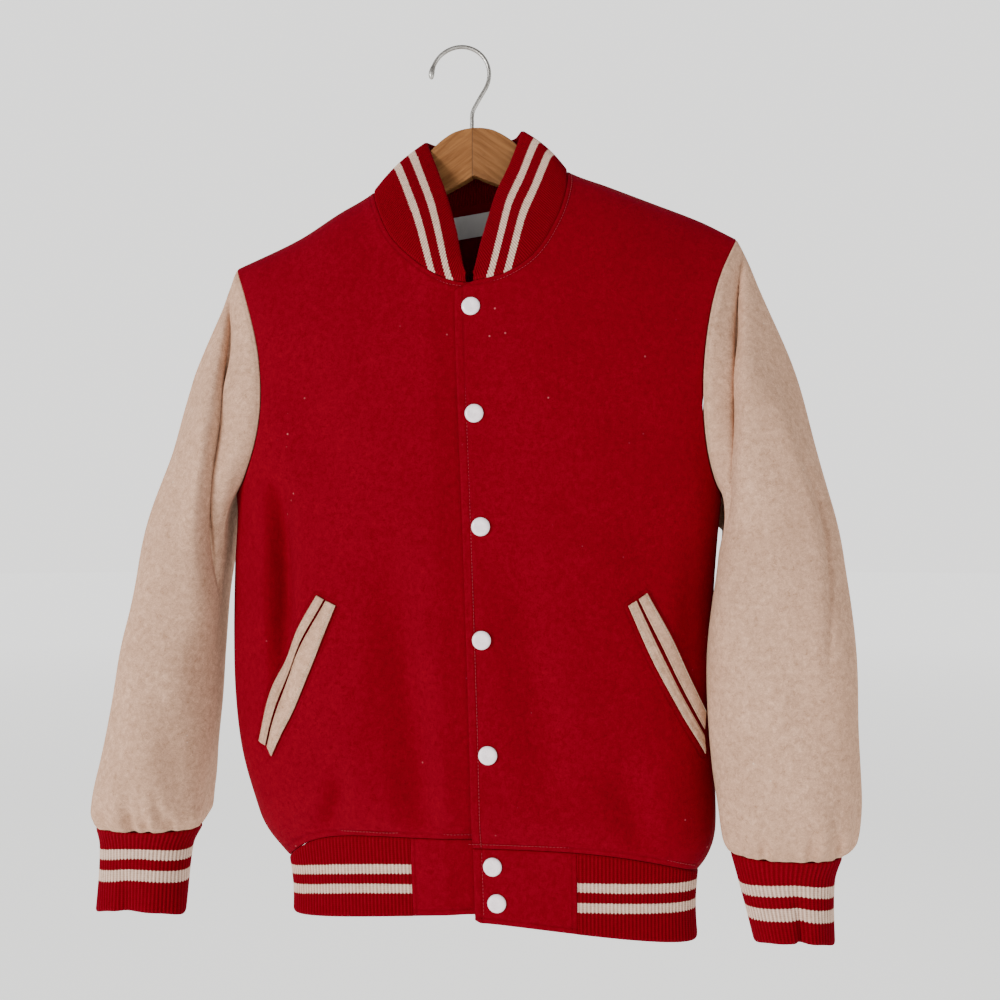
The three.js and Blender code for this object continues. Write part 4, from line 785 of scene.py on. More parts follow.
# Collar
# A standing band of the same rib, knitted double and folded at its free edge, with two
# cream stripes, sewn round the neck.
COLLAR_EDGE = {
    "left": [(11, -54, -222), (8, -51, -203), (3, -46, -178), (-8, -34, -143), (-19, -20, -115),
             (-31, 0, -86)],
    "back": [(-31, 0, -86), (-22, 13, -85), (12, 17, -84), (47, 13, -82), (57, 0, -79)],
    "right": [(57, 0, -79), (47, -17, -115), (37, -30, -143), (31, -40, -168), (25, -48, -194),
              (20, -54, -221)]}
COLLAR_STRIPES = [(14.5, 21.5), (32, 39)]
steps = {"left": 280, "back": 320, "right": 280}
seam, free = [], []
for leg in ("left", "back", "right"):
    shares = np.linspace(0, 1, steps[leg] + 1)
    line = along(NECK[leg], shares[::-1] if leg == "left" else shares)
    found = places(leg, line)
    low = front_point(leg, found[:, 0], found[:, 1]) if leg != "back" else body_point("back", *found.T)
    if leg == "back":    # set down onto the back's edge, so that no light comes through the seam
        low[:, 2] -= 2.4 * np.sin(math.pi * shares) ** 0.5
    seam.append(low)
    free.append(along(COLLAR_EDGE[leg], shares))
seam = np.vstack([seam[0], seam[1][1:], seam[2][1:]])
free = np.vstack([free[0], free[1][1:], free[2][1:]])
middle = (seam + free) / 2
length = np.concatenate([[0], np.cumsum(np.linalg.norm(np.diff(middle, axis=0), axis=1))])
even = np.linspace(0, length[-1], round(length[-1] / 2.2) * 5 + 1)
seam, free = (np.stack([np.interp(even, length, line[:, k]) for k in range(3)], -1) for line in (seam, free))
v = soft_ends(21)
net = free[None] + (seam - free)[None] * v[:, None, None]
n = grid_normals(net)
n = n if n[10, len(even) // 2, 1] > 0 else -n
ends = smoothstep(np.minimum(even, even[-1] - even), 0, 60)
net = net + n * (3.0 * np.sin(math.pi * v)[:, None] * ends[None] * 1.1)[..., None]
into = run_lengths(net, 0) - 5 * (1 - smoothstep(np.minimum(even, even[-1] - even), 0, 80))[None]
collar = ribbed("collar_band", net, n, 2.2, in_stripes(into, COLLAR_STRIPES),
                ("top", "bottom", "start", "end"), roll=1.3)
collar.data.materials.append(rib_knit)
sewn_in(collar, "collar")

# Sleeves
# Two tubes of cream wool, set into the armholes and gathered a little into the cuffs. The
# left one folds in a deep crease by the armhole where it hangs down from the shoulder.
SLEEVES = {  # height, centre, half width and half depth
    "left": [(-470, -253.5, -5, 39.5, 52), (-510, -260, -6, 41, 54), (-560, -267.5, -8, 43.5, 55),
             (-610, -272.5, -10, 48, 55), (-655, -278, -12, 50, 54), (-688, -283.5, -12, 52, 51),
             (-703, -285, -12, 52.5, 45), (-711, -286.5, -12, 50.5, 39), (-716, -286.5, -12, 48.5, 33)],
    "right": [(-470, 281.5, -20, 52.5, 49), (-510, 281.5, -27, 58, 50), (-560, 282.5, -32, 61.5, 50),
              (-610, 283, -34, 62, 49), (-655, 284, -35, 60, 48), (-690, 285, -34, 57, 47),
              (-705, 285.5, -32, 54, 43), (-713, 285, -31, 50.5, 38), (-718, 284, -30, 46.5, 34)]}
# how the cloth leaves the armhole at the shoulder, the front, the armpit and the back
LEAVE = {"left": [(-0.46, 0, -0.89), (-0.72, -0.34, -0.55), (-0.62, 0, -0.78), (-0.8, 0.34, -0.5)],
         "right": [(0.5, 0, -0.87), (0.68, -0.42, -0.55), (0.62, 0, -0.78), (0.8, 0.34, -0.5)]}
SLEEVE_FOLDS = {  # x, height, depth, width on its left, width on its right
    "left": [
        [(-246, -300, 0, 16, 14), (-240, -350, 2.5, 16, 14), (-244, -410, 3.5, 18, 14), (-256, -480, 0, 18, 14)],
        [(-262, -560, 0, 16, 14), (-252, -610, 3, 16, 12), (-246, -660, 2.5, 14, 12), (-250, -700, 0, 14, 12)],
        [(-308, -540, 0, 14, 18), (-302, -610, 2.5, 14, 18), (-306, -680, 0, 14, 16)],
        [(-287, -718, 0.7, 3, 4), (-287, -706, 4.5, 4, 6), (-285, -676, 0, 6, 8)],
        [(-273, -718, 0.7, 3, 3), (-274, -706, 3.5, 4, 5), (-276, -684, 0, 5, 6)],
        [(-255, -718, 0.7, 3, 4), (-256, -704, 4.5, 4, 6), (-262, -668, 0, 6, 8)]],
    "right": [
        [(262, -560, 0, 14, 18), (258, -620, 3, 14, 18), (262, -690, 0, 14, 16)],
        [(296, -520, 0, 12, 16), (290, -580, 2, 12, 16), (296, -650, 0, 12, 16)],
        [(262, -720, 0.7, 3, 4), (262, -708, 4.5, 4, 6), (258, -684, 0, 6, 8)],
        [(301, -720, 0.7, 3, 4), (300, -707, 4.5, 4, 6), (300, -672, 0, 6, 8)],
        [(323, -720, 0.7, 3, 3), (322, -708, 4, 4, 5), (320, -690, 0, 5, 6)]]}
CUFF_FOLDS = {"left": [[(-300, -742, 0, 8, 9), (-299, -765, 1.5, 7, 8), (-300, -790, 2.5, 6, 8)]],
              "right": [[(288, -730, 0, 7, 8), (289, -748, 2, 6, 8), (291, -768, 4.5, 4, 7), (292, -788, 6.5, 3, 6)]]}
# deep folds where the cloth on one side of a path lies back behind the other: the side that
# lies back; x, height, depth, how far back it reaches, how far the other side rolls over
HANGING_FOLDS = {
    "left": [("right", [(-217, -212, 2, 24, 5), (-216, -240, 8, 28, 5), (-215, -263, 14, 32, 5),
                        (-216, -301, 20, 36, 5), (-217, -337, 23, 38, 5), (-219, -366, 24, 36, 5),
                        (-223, -400, 23, 30, 5), (-225, -430, 19, 22, 5), (-224, -470, 15, 15, 5),
                        (-221, -515, 11, 12, 5), (-220, -560, 0, 10, 5)])],
    "right": [("left", [(254, -192, 3, 22, 5), (252, -222, 10, 26, 5), (250, -260, 17, 28, 5), (248, -301, 22, 30, 5),
                        (247, -345, 23, 28, 5), (245, -380, 17, 24, 5), (241, -415, 9, 16, 5), (236, -450, 4, 10, 5),
                        (232, -480, 0, 9, 5)]),
              ("right", [(286, -335, 0, 22, 5), (298, -378, 4, 24, 5), (308, -410, 7, 24, 5), (315, -445, 8, 24, 5),
                         (317, -487, 7, 24, 5), (314, -536, 4, 22, 5), (312, -580, 0, 20, 5)])]}


def sleeve_oval(side, row, turn):
    """A point of a sleeve's section: turn 0 is its outer side, a quarter its front."""
    out = -1 if side == "left" else 1
    angle = turn * 2 * math.pi
    bend = lambda s: np.sign(s) * np.abs(s) ** (2 / 2.25)
    return np.stack([row[..., 0] + out * row[..., 2] * bend(np.cos(angle)),
                     row[..., 1] - row[..., 3] * bend(np.sin(angle))], -1)


def sleeve_low(side, z, turn):
    row = smooth_table(SLEEVES[side], z)
    flat = sleeve_oval(side, row, turn)
    out = sleeve_oval(side, np.broadcast_to([0.0, 0, 1, 1], row.shape), turn)
    above = (z - SLEEVES[side][-1][0]) / 70
    wave = np.cos(18 * math.pi * turn + 1.3 * np.sin(4 * math.pi * turn + len(side)))
    fine = np.cos(46 * math.pi * turn + 2.1 * np.sin(6 * math.pi * turn + 1))
    fall = np.clip(1 - above, 0, 1) ** 1.4 * np.clip(0.35 + above * 4, 0, 1)
    near = np.clip(1 - above * 2.2, 0, 1) ** 1.5 * np.clip(0.5 + above * 6, 0, 1)
    shift = 2.6 * wave * fall + 0.9 * fine * near
    return np.concatenate([flat + out * shift[..., None], (z + 0 * turn)[..., None]], -1)


def armhole_loop(side, turns):
    front_rows, back_rows = armhole_places(side, "front", 140), armhole_places(side, "back", 140)
    down = front_point(side, front_rows[:, 0], front_rows[:, 1])
    up = body_point("back", back_rows[:, 0], back_rows[:, 1])[::-1]
    loop = np.empty((len(turns), 3))
    for half, line in ((0, down), (1, up)):
        length = np.concatenate([[0], np.cumsum(np.linalg.norm(np.diff(line, axis=0), axis=1))])
        own = (turns >= half / 2) & (turns <= (half + 1) / 2)
        at = (turns[own] * 2 - half) * length[-1]
        loop[own] = np.stack([np.interp(at, length, line[:, k]) for k in range(3)], -1)
    return loop


def sleeve_grid(side, columns, upper, lower):
    turns = np.arange(columns) / columns
    turns = np.sort((turns - 0.055 * np.sin(2 * math.pi * (turns - 0.36))) % 1)
    start = armhole_loop(side, turns)
    top = SLEEVES[side][0][0]
    end = sleeve_low(side, np.full(columns, float(top)), turns)
    run = np.linalg.norm(end - start, axis=1, keepdims=True)
    leave = np.array(LEAVE[side], float)
    quarter = turns * 4
    part = smoothstep(quarter % 1, 0, 1)[:, None]
    first = leave[np.floor(quarter).astype(int) % 4]
    second = leave[(np.floor(quarter).astype(int) + 1) % 4]
    tangent = first * (1 - part) + second * part
    tangent = tangent / np.linalg.norm(tangent, axis=1, keepdims=True) * run * 0.85
    fall = sleeve_low(side, np.full(columns, top - 2.0), turns) - end
    fall = fall / np.linalg.norm(fall, axis=1, keepdims=True) * run * 0.9
    t = (soft_ends(upper, True, False) ** 1.0)[:, None, None]
    high = (start[None] * (1 + 2 * t) * (1 - t) ** 2 + tangent[None] * t * (1 - t) ** 2
            + end[None] * (3 - 2 * t) * t ** 2 - fall[None] * (1 - t) * t ** 2)
    z = top + (SLEEVES[side][-1][0] - top) * soft_ends(lower, False, True)[1:]
    z = z[:, None] + np.zeros((1, columns))
    low = sleeve_low(side, z, np.broadcast_to(turns, z.shape))
    return np.concatenate([high, low]), turns


def hung_over(net, side, share):
    """The sleeve with its hanging folds: cloth beside each path goes back, the roll over it."""
    moved = net.copy()
    for back_side, path in HANGING_FOLDS[side]:
        away, deep, reach, roll = by_path(path, net[..., 0], net[..., 2])
        away = away if back_side == "right" else -away
        behind = 0.4 * np.exp(-(away / 4) ** 2) + 0.6 * (1 - smoothstep(away, 0, reach))
        gap = np.maximum(-away, 0)
        moved[..., 1] += share * deep * np.where(away > 0, behind, np.exp(-(gap / roll) ** 2))
        lean = 0.3 * deep * gap / 5 * np.exp(1 - gap / 5) * (roll < 7)
        moved[..., 0] += share * np.where(back_side == "right", lean, -lean)
        moved[..., 1] -= share * 0.1 * deep * np.exp(-((gap - 2.3 * roll) / 9) ** 2) * (away < 0)
    return moved


for side in ("left", "right"):
    net, turns = sleeve_grid(side, 240, 84, 84)
    n = grid_normals(net, True)
    middle = net.mean(1, keepdims=True)
    n = n if (n * (net - middle)).sum() > 0 else -n
    from_arm = np.linalg.norm(net - net[:1], axis=-1)
    facing = smoothstep(-n[..., 1], -0.05, 0.3) * smoothstep(from_arm, 1.5, 16)
    net = hung_over(net, side, facing)
    n = grid_normals(net, True)
    n = n if (n * (net - middle)).sum() > 0 else -n
    depth = pressed(SLEEVE_FOLDS[side], net[..., 0], net[..., 2]) * facing
    down = run_lengths(net, 0)
    free_part = smoothstep(down, 4, 50) * smoothstep(down[-1] - down, 2, 60)
    angle = np.broadcast_to(turns, depth.shape) * 2 * math.pi
    unrest = (1.1 * np.sin(3 * angle + net[..., 2] / 52) + 0.8 * np.sin(5 * angle - net[..., 2] / 31 + 1)
              + 0.6 * np.sin(2 * angle + net[..., 2] / 19 + 2))
    arm_side = net - n * (depth + unrest * free_part)[..., None]
    sleeve = cloth_wall(f"sleeve_tube_{side}", arm_side, n, WOOL, closed=True, marks={"arm_mm": from_arm})
    sleeve.data.materials.append(cream_wool)
    sewn_in(sleeve, f"sleeve_{side}")

# Cuffs
# Short tubes of the same rib as the hem, with two cream stripes, sewn to the gathered sleeves.
CUFFS = {"left": [(-716.4, -286.5, -12, 48, 32), (-733, -289, -12, 42, 27), (-789, -292, -12, 40.5, 24)],
         "right": [(-718.4, 284, -30, 45.5, 33), (-737, 283.5, -30, 39.5, 29), (-785.5, 289, -30, 31.5, 30)]}
CUFF_STRIPES = {"left": [(21, 30), (40, 50)], "right": [(25, 34), (44, 54)]}
for side in ("left", "right"):
    columns = 66 * 5
    turns = np.arange(columns) / columns
    z = CUFFS[side][0][0] + (CUFFS[side][-1][0] - CUFFS[side][0][0]) * soft_ends(22)
    z = z[:, None] + 0 * turns[None]
    flat = sleeve_oval(side, smooth_table(CUFFS[side], z), np.broadcast_to(turns, z.shape))
    net = np.concatenate([flat, z[..., None]], -1)
    length = run_lengths(np.concatenate([net, net[:, :1]], 1), 1)[11]
    even = np.linspace(0, length[-1], columns, endpoint=False)
    ring = np.concatenate([net, net[:, :1]], 1)
    net = np.stack([np.stack([np.interp(even, length, row[:, k]) for k in range(3)], -1) for row in ring])
    n = grid_normals(net, True)
    middle = net.mean(1, keepdims=True)
    n = n if (n * (net - middle)).sum() > 0 else -n
    share = (net[..., 2] - net[:1, :, 2]) / (net[-1:, :, 2] - net[:1, :, 2])
    turn = np.arange(columns)[None] / columns * 2 * math.pi
    wave = 1.3 * np.sin(3 * turn + 0.5) * share ** 2 + 0.8 * np.sin(7 * turn) * share ** 3
    dip = pressed(CUFF_FOLDS[side], net[..., 0], net[..., 2]) * smoothstep(-n[..., 1], 0, 0.4)
    net = net + n * (wave - dip)[..., None]
    # flattened against the wall: its sides hang lower than its front
    net[..., 2] -= 6 * np.cos(turn) ** 4 * share
    cuff = ribbed(f"cuff_band_{side}", net, n, length[-1] / 66,
                  in_stripes(run_lengths(net, 0) + 5 * np.maximum(np.sin(turn), 0) ** 2, CUFF_STRIPES[side]),
                  ("top", "bottom"), closed=True)
    cuff.data.materials.append(rib_knit)
    sewn_in(cuff, f"cuff_{side}")

# Snaps
# Seven white pearl caps with a shallow dimple, riveted through the over front and its tab.
SNAPS = [(18, -252), (22, -346), (28, -443), (29, -539), (34, -636), (36, -733), (39, -764)]
SNAP_PROFILE = [(7.55, 0.0), (7.95, 0.35), (8.0, 0.8), (7.75, 1.35), (7.2, 1.85), (6.3, 2.25), (5.2, 2.42),
                (4.2, 2.36), (3.2, 2.16), (2.2, 1.98), (1.1, 1.88)]

pearl, tree, surface = material("snap_pearl")
place = node(tree, "ShaderNodeTexCoord").outputs["Object"]
cloud = node(tree, "ShaderNodeTexNoise", {"Vector": place, "Scale": 240.0, "Detail": 3.0, "Distortion": 2.0})
scuff = node(tree, "ShaderNodeTexNoise", {"Vector": place, "Scale": 1500.0, "Detail": 2.0})
tint = blend_colour(tree, ramp(tree, cloud.outputs["Fac"], 0.35, 0.65), (0.86, 0.73, 0.75, 1), (0.96, 0.86, 0.88, 1))
tree.links.new(tint, surface.inputs["Base Color"])
tree.links.new(ramp(tree, scuff.outputs["Fac"], 0.3, 0.7, 0.22, 0.38), surface.inputs["Roughness"])
surface.inputs["Coat Weight"].default_value = 0.35
surface.inputs["Coat Roughness"].default_value = 0.12


def front_or_tab(x, z):
    """Point and outward normal on the over front, or on its hem tab below the seam."""
    q = share_at("right", np.array(float(x)), np.array(float(z)))
    if z > hem_seam("right", q) + 2:
        at, n = front_place("right", np.array([x]), np.array([z]))
        return at[0], n[0]
    top, low = hem_seam("right", q), hem_low("right", q)
    v = np.array([(top - z) / (top - low)])
    spot = lambda dq, dv: hem_points("right", np.array([q + dq]), v + dv)[0, 0]
    n = np.cross(spot(0.01, 0) - spot(-0.01, 0), spot(0, -0.02) - spot(0, 0.02))
    n = n / np.linalg.norm(n)
    return spot(0, 0), -n if n[1] > 0 else n


for number, (x, z) in enumerate(SNAPS, 1):
    at, n = front_or_tab(x, z)
    bpy.ops.object.select_all(action="DESELECT")
    bpy.ops.mesh.primitive_circle_add(vertices=48, radius=SNAP_PROFILE[0][0] * MM, fill_type="NGON")
    cap = bpy.context.object
    cap.name = f"snap_cap_{number}"
    cap.data.name = cap.name
    bpy.ops.object.mode_set(mode="EDIT")
    bpy.ops.mesh.select_all(action="SELECT")
    for (r0, h0), (r1, h1) in zip(SNAP_PROFILE[:-1], SNAP_PROFILE[1:]):
        bpy.ops.mesh.extrude_region_move(TRANSFORM_OT_translate={"value": (0, 0, (h1 - h0) * MM)})
        bpy.ops.transform.resize(value=(r1 / r0, r1 / r0, 1))
    bpy.ops.mesh.select_all(action="SELECT")
    bpy.ops.mesh.normals_make_consistent(inside=False)
    bpy.ops.object.mode_set(mode="OBJECT")
    cap.rotation_euler = Vector(n).to_track_quat("Z", "Y").to_euler()
    cap.location = Vector((at + n * 0.35) * MM)
    bpy.ops.object.transform_apply(location=True, rotation=True, scale=True)
    bpy.ops.object.shade_smooth()
    cap.data.materials.append(pearl)
    sewn_in(cap, f"snap_{number}")

# Stitching
# Lines of matching thread: down the over front's edge and on down its hem tab, round the neck,
# above the hem band, and in cream along the welts.
thread_red, tree, surface = material("thread_red")
twist = node(tree, "ShaderNodeTexNoise", {"Vector": node(tree, "ShaderNodeTexCoord").outputs["Object"],
                                          "Scale": 2600.0, "Detail": 2.0})
tree.links.new(blend_colour(tree, twist.outputs["Fac"], (0.14, 0.0006, 0.004, 1), (0.36, 0.004, 0.012, 1)),
               surface.inputs["Base Color"])
surface.inputs["Roughness"].default_value = 0.6
thread_cream, tree, surface = material("thread_cream")
twist = node(tree, "ShaderNodeTexNoise", {"Vector": node(tree, "ShaderNodeTexCoord").outputs["Object"],
                                          "Scale": 2600.0, "Detail": 2.0})
tree.links.new(blend_colour(tree, twist.outputs["Fac"], (0.42, 0.33, 0.24, 1), (0.68, 0.58, 0.45, 1)),
               surface.inputs["Base Color"])
surface.inputs["Roughness"].default_value = 0.6
STITCH = [(-1.15, 0.10, -0.25), (-0.8, 0.21, 0.0), (0, 0.25, 0.10), (0.8, 0.21, 0.0), (1.15, 0.10, -0.25)]


def stitched(name, lines, thread, pitch=3.0):
    """Rows of sunk stitches along lines of points and normals on the cloth."""
    verts, faces = [], []
    for points, normals in lines:
        length = np.concatenate([[0], np.cumsum(np.linalg.norm(np.diff(points, axis=0), axis=1))])
        for at in np.arange(pitch / 2, length[-1], pitch):
            pick = lambda rows, t: np.array([np.interp(t, length, rows[:, k]) for k in range(3)])
            centre, n = pick(points, at), pick(normals, at)
            way = pick(points, min(at + 1, length[-1])) - pick(points, max(at - 1, 0))
            way, n = way / np.linalg.norm(way), n / np.linalg.norm(n)
            side = np.cross(way, n)
            first = len(verts)
            for run, thick, lift in STITCH:
                for k in range(6):
                    a = k * math.pi / 3
                    verts.append((centre + way * run + side * thick * math.cos(a)
                                  + n * (lift + 0.05 + thick * math.sin(a))) * MM)
            for ring in range(len(STITCH) - 1):
                for k in range(6):
                    a, b = first + ring * 6 + k, first + ring * 6 + (k + 1) % 6
                    faces.append((a, b, b + 6, a + 6))
            faces.append(tuple(first + k for k in reversed(range(6))))
            faces.append(tuple(first + (len(STITCH) - 1) * 6 + k for k in range(6)))
    mesh = bpy.data.meshes.new(name)
    mesh.from_pydata([tuple(v) for v in verts], [], faces)
    bm = bmesh.new()
    bm.from_mesh(mesh)
    bmesh.ops.recalc_face_normals(bm, faces=bm.faces)
    bm.to_mesh(mesh)
    bm.free()
    mesh.polygons.foreach_set("use_smooth", np.ones(len(mesh.polygons), bool))
    row = bpy.data.objects.new(name, mesh)
    bpy.context.scene.collection.objects.link(row)
    row.data.materials.append(thread)
    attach(row, "root")


def front_line(side, x, z):
    return front_place(side, x, z)


z = np.linspace(-242, -716, 160)
edge_row = front_line("right", front_edge(z) + 7.5, z)
tab_z = np.linspace(-721, -775, 20)
tab_row = [front_or_tab(float(front_edge(np.array(a)) + 7.5), float(a)) for a in tab_z]
tab_row = (np.array([r[0] for r in tab_row]), np.array([r[1] for r in tab_row]))


def beside(line, gap):
    """A line of points moved sideways by a gap, seen from the front."""
    way = np.gradient(line, axis=0)
    way = way / np.linalg.norm(way, axis=1, keepdims=True)
    return line + np.column_stack([way[:, 1], -way[:, 0]]) * gap


neck_rows = []
for side, turn in (("left", 1), ("right", -1)):
    line = beside(along(NECK[side], np.linspace(0.03, 0.97, 80)), 4.0 * turn)
    neck_rows.append(front_line(side, line[:, 0], line[:, 1]))
hem_rows = []
for side, first, last in (("left", -0.93, 0.02), ("right", 0.96, -0.06)):
    q = np.linspace(first, last, 120)
    z = hem_seam(side, q) + 5.0
    x = front_point(side, q, z)[:, 0]
    hem_rows.append(front_line(side, x, z))
stitched("stitching_body", [edge_row, tab_row, *neck_rows, *hem_rows], thread_red)
welt_rows = []
for side in ("left", "right"):
    rows = np.array(POCKETS[side], float)
    for column, gap in ((0, 1), (6, -1)):
        line = beside(along(rows[:, column:column + 2], np.linspace(0.02, 0.98, 60)), 0)
        toward = along(rows[:, 2:4], np.linspace(0.02, 0.98, 60)) - line
        toward = toward / np.linalg.norm(toward, axis=1, keepdims=True)
        line = line + toward * 1.9
        at, n = front_line(side, line[:, 0], line[:, 1])
        welt_rows.append((at + n * 2.75, n))
stitched("stitching_welts", welt_rows, thread_cream, 2.6)

# Label
# A small bare woven strip, sewn by its ends inside the back of the neck.
label_white, tree, surface = material("label_white")
yarn = node(tree, "ShaderNodeUVMap", uv_map="UVMap").outputs["UV"]
weft = node(tree, "ShaderNodeTexWave", {"Vector": yarn, "Scale": 420.0, "Distortion": 0.6}, bands_direction="Y")
fade = node(tree, "ShaderNodeTexNoise", {"Vector": yarn, "Scale": 90.0, "Detail": 4.0})
tint = blend_colour(tree, fade.outputs["Fac"], (0.62, 0.60, 0.58, 1), (0.78, 0.76, 0.74, 1))
tree.links.new(tint, surface.inputs["Base Color"])
raised = node(tree, "ShaderNodeBump", {"Height": weft.outputs["Fac"], "Strength": 0.35, "Distance": 0.0002})
tree.links.new(raised.outputs["Normal"], surface.inputs["Normal"])
surface.inputs["Roughness"].default_value = 0.55
x = -26 + 64 * soft_ends(26)[None, :]
z = -145 - 21 * soft_ends(12)[:, None]
x, z = x + 0 * z, z + 0.14 * (x - 6)
inside = body_point("back", share_at("back", x, z), z)
n = grid_normals(inside)
n = n if n[6, 13, 1] < 0 else -n
bulge = 0.5 * np.sin(math.pi * (x + 26) / 64) * np.sin(z / 6.1) + 0.35 * np.sin(x / 5.3)
label = cloth_wall("label_strip", inside + n * (WOOL + 3.4 + bulge)[..., None], (0, -1, 0), 0.7, roll=0.3)
label.data.materials.append(label_white)
sewn_in(label, "label")

# Hanger
# Two arms of varnished hardwood, joined in the middle, that carry the shoulders.
HANGER = [  # distance from the middle, top and bottom height, share of the thickness
    (0, -76, -120.5, 1), (10, -77, -125.5, 1), (21, -80.5, -130.5, 1), (36, -91, -138, 1),
    (58, -114, -150, 1), (84, -134, -165, 1), (115, -152, -182, 0.95), (150, -169, -198, 0.9),
    (182, -184, -210, 0.8), (196, -192, -211, 0.6), (201, -197, -207, 0.35)]
HANGER_MIDDLE = 12
HANGER_TILT = math.radians(2.4)
HANGER_HALF = 5.5

hanger_wood, tree, surface = material("hanger_wood")
place = node(tree, "ShaderNodeTexCoord").outputs["Object"]
parts = node(tree, "ShaderNodeSeparateXYZ", {"Vector": place})
half = ramp(tree, parts.outputs["X"], 0.01165, 0.01235)
# each half's grain runs along its own arm
lean = ramp(tree, half, 0, 1, -0.72, 0.72)
across = calc(tree, "ADD", parts.outputs["Z"], calc(tree, "MULTIPLY", lean, parts.outputs["X"]))
grain_at = node(tree, "ShaderNodeCombineXYZ", {"X": calc(tree, "MULTIPLY", parts.outputs["X"], 0.12),
                                               "Y": parts.outputs["Y"], "Z": across})
rings = node(tree, "ShaderNodeTexNoise", {"Vector": grain_at.outputs[0], "Scale": 190.0, "Detail": 6.0,
                                          "Roughness": 0.62, "Distortion": 0.5})
pores = node(tree, "ShaderNodeTexNoise", {"Vector": grain_at.outputs[0], "Scale": 1300.0, "Detail": 3.0})
patch = node(tree, "ShaderNodeTexNoise", {"Vector": place, "Scale": 22.0, "Detail": 3.0})
left_tone = blend_colour(tree, ramp(tree, rings.outputs["Fac"], 0.35, 0.65), (0.15, 0.055, 0.017, 1), (0.27, 0.115, 0.038, 1))
right_tone = blend_colour(tree, ramp(tree, rings.outputs["Fac"], 0.35, 0.65), (0.13, 0.050, 0.016, 1), (0.23, 0.098, 0.034, 1))
tone = blend_colour(tree, half, left_tone, right_tone)
tone = blend_colour(tree, ramp(tree, pores.outputs["Fac"], 0.60, 0.70, 0, 0.5), tone, (0.09, 0.038, 0.014, 1))
tone = blend_colour(tree, ramp(tree, patch.outputs["Fac"], 0.4, 0.7, 0, 0.25), tone, (0.17, 0.08, 0.03, 1))
joint = calc(tree, "ABSOLUTE", calc(tree, "SUBTRACT", parts.outputs["X"], 0.012))
gap = ramp(tree, joint, 0.0005, 0.0002)
tone = blend_colour(tree, calc(tree, "MULTIPLY", gap, 0.75), tone, (0.05, 0.02, 0.008, 1))
tree.links.new(tone, surface.inputs["Base Color"])
height = calc(tree, "SUBTRACT", calc(tree, "MULTIPLY", rings.outputs["Fac"], 0.3), gap)
raised = node(tree, "ShaderNodeBump", {"Height": height, "Strength": 0.4, "Distance": 0.0004})
tree.links.new(raised.outputs["Normal"], surface.inputs["Normal"])
tree.links.new(ramp(tree, pores.outputs["Fac"], 0.4, 0.7, 0.36, 0.55), surface.inputs["Roughness"])
surface.inputs["Specular IOR Level"].default_value = 0.12

bpy.ops.object.select_all(action="DESELECT")
bpy.ops.mesh.primitive_grid_add(x_subdivisions=160, y_subdivisions=8, size=2)
arms = bpy.context.object
arms.name = "hanger_arms"
arms.data.name = "hanger_arms"
for vertex in arms.data.vertices:
    distance = abs(vertex.co.x) * 201
    top, low, thick = smooth_table(HANGER, np.array(distance))
    up = (vertex.co.y + 1) / 2
    vertex.co = (math.copysign(distance, vertex.co.x), 0, low + (top - low) * up + 76)
edge_share = smooth_table(HANGER, np.array([abs(v.co.x) for v in arms.data.vertices]))[:, 2]
shell = arms.modifiers.new("thickness", "SOLIDIFY")
shell.thickness = HANGER_HALF * 2
shell.offset = 0
group = arms.vertex_groups.new(name="thickness")
for vertex, share in zip(arms.data.vertices, edge_share):
    group.add([vertex.index], float(share), "REPLACE")
shell.vertex_group = "thickness"
bpy.ops.object.modifier_apply(modifier="thickness")
soft = arms.modifiers.new("rounded", "BEVEL")
soft.width = 2.6
soft.segments = 4
soft.limit_method = "ANGLE"
soft.angle_limit = math.radians(50)
bpy.ops.object.modifier_apply(modifier="rounded")
bpy.ops.object.mode_set(mode="EDIT")
bpy.ops.mesh.select_all(action="SELECT")
bpy.ops.mesh.normals_make_consistent(inside=False)
bpy.ops.object.mode_set(mode="OBJECT")
arms.rotation_euler = (0, -HANGER_TILT, 0)
arms.location = (HANGER_MIDDLE * MM, 0, -76 * MM)
arms.scale = (MM, MM, MM)
bpy.ops.object.transform_apply(location=True, rotation=True, scale=True)
bpy.ops.object.shade_smooth_by_angle(angle=math.radians(40))
arms.data.materials.append(hanger_wood)
sewn_in(arms, "hanger_wood")

# Hook
# One length of steel wire bent round to a small upset ball, its stem pressed into the wood.
WIRE = 1.9
HOOK_RADIUS = 27
hook_steel, tree, surface = material("hook_steel")
place = node(tree, "ShaderNodeTexCoord").outputs["Object"]
drawn = node(tree, "ShaderNodeTexNoise", {"Vector": place, "Scale": 700.0, "Detail": 4.0})
dull = node(tree, "ShaderNodeTexNoise", {"Vector": place, "Scale": 90.0, "Detail": 4.0})
tone = blend_colour(tree, ramp(tree, dull.outputs["Fac"], 0.4, 0.65), (0.40, 0.385, 0.36, 1), (0.24, 0.22, 0.20, 1))
tree.links.new(tone, surface.inputs["Base Color"])
tree.links.new(ramp(tree, drawn.outputs["Fac"], 0.3, 0.7, 0.28, 0.5), surface.inputs["Roughness"])
surface.inputs["Metallic"].default_value = 1.0
bend = [(HOOK_RADIUS * math.cos(math.radians(a)), 0, WIRE - HOOK_RADIUS + HOOK_RADIUS * math.sin(math.radians(a)))
        for a in range(184, -34, -9)]
bend += [(16, 0, -51), (11.6, 0, -60), (11, 0, -70), (11, 0, -90)]
line = along(bend, np.linspace(0, 1, 150))
ball = np.interp(np.arange(150), [0, 1, 3, 6, 9, 12, 149], [0.55, 1.1, 1.42, 1.5, 1.3, 1.0, 1.0])
wire = bpy.data.curves.new("hook_wire", "CURVE")
wire.dimensions = "3D"
wire.bevel_depth = WIRE * MM
wire.bevel_resolution = 5
wire.use_fill_caps = True
spline = wire.splines.new("POLY")
spline.points.add(len(line) - 1)
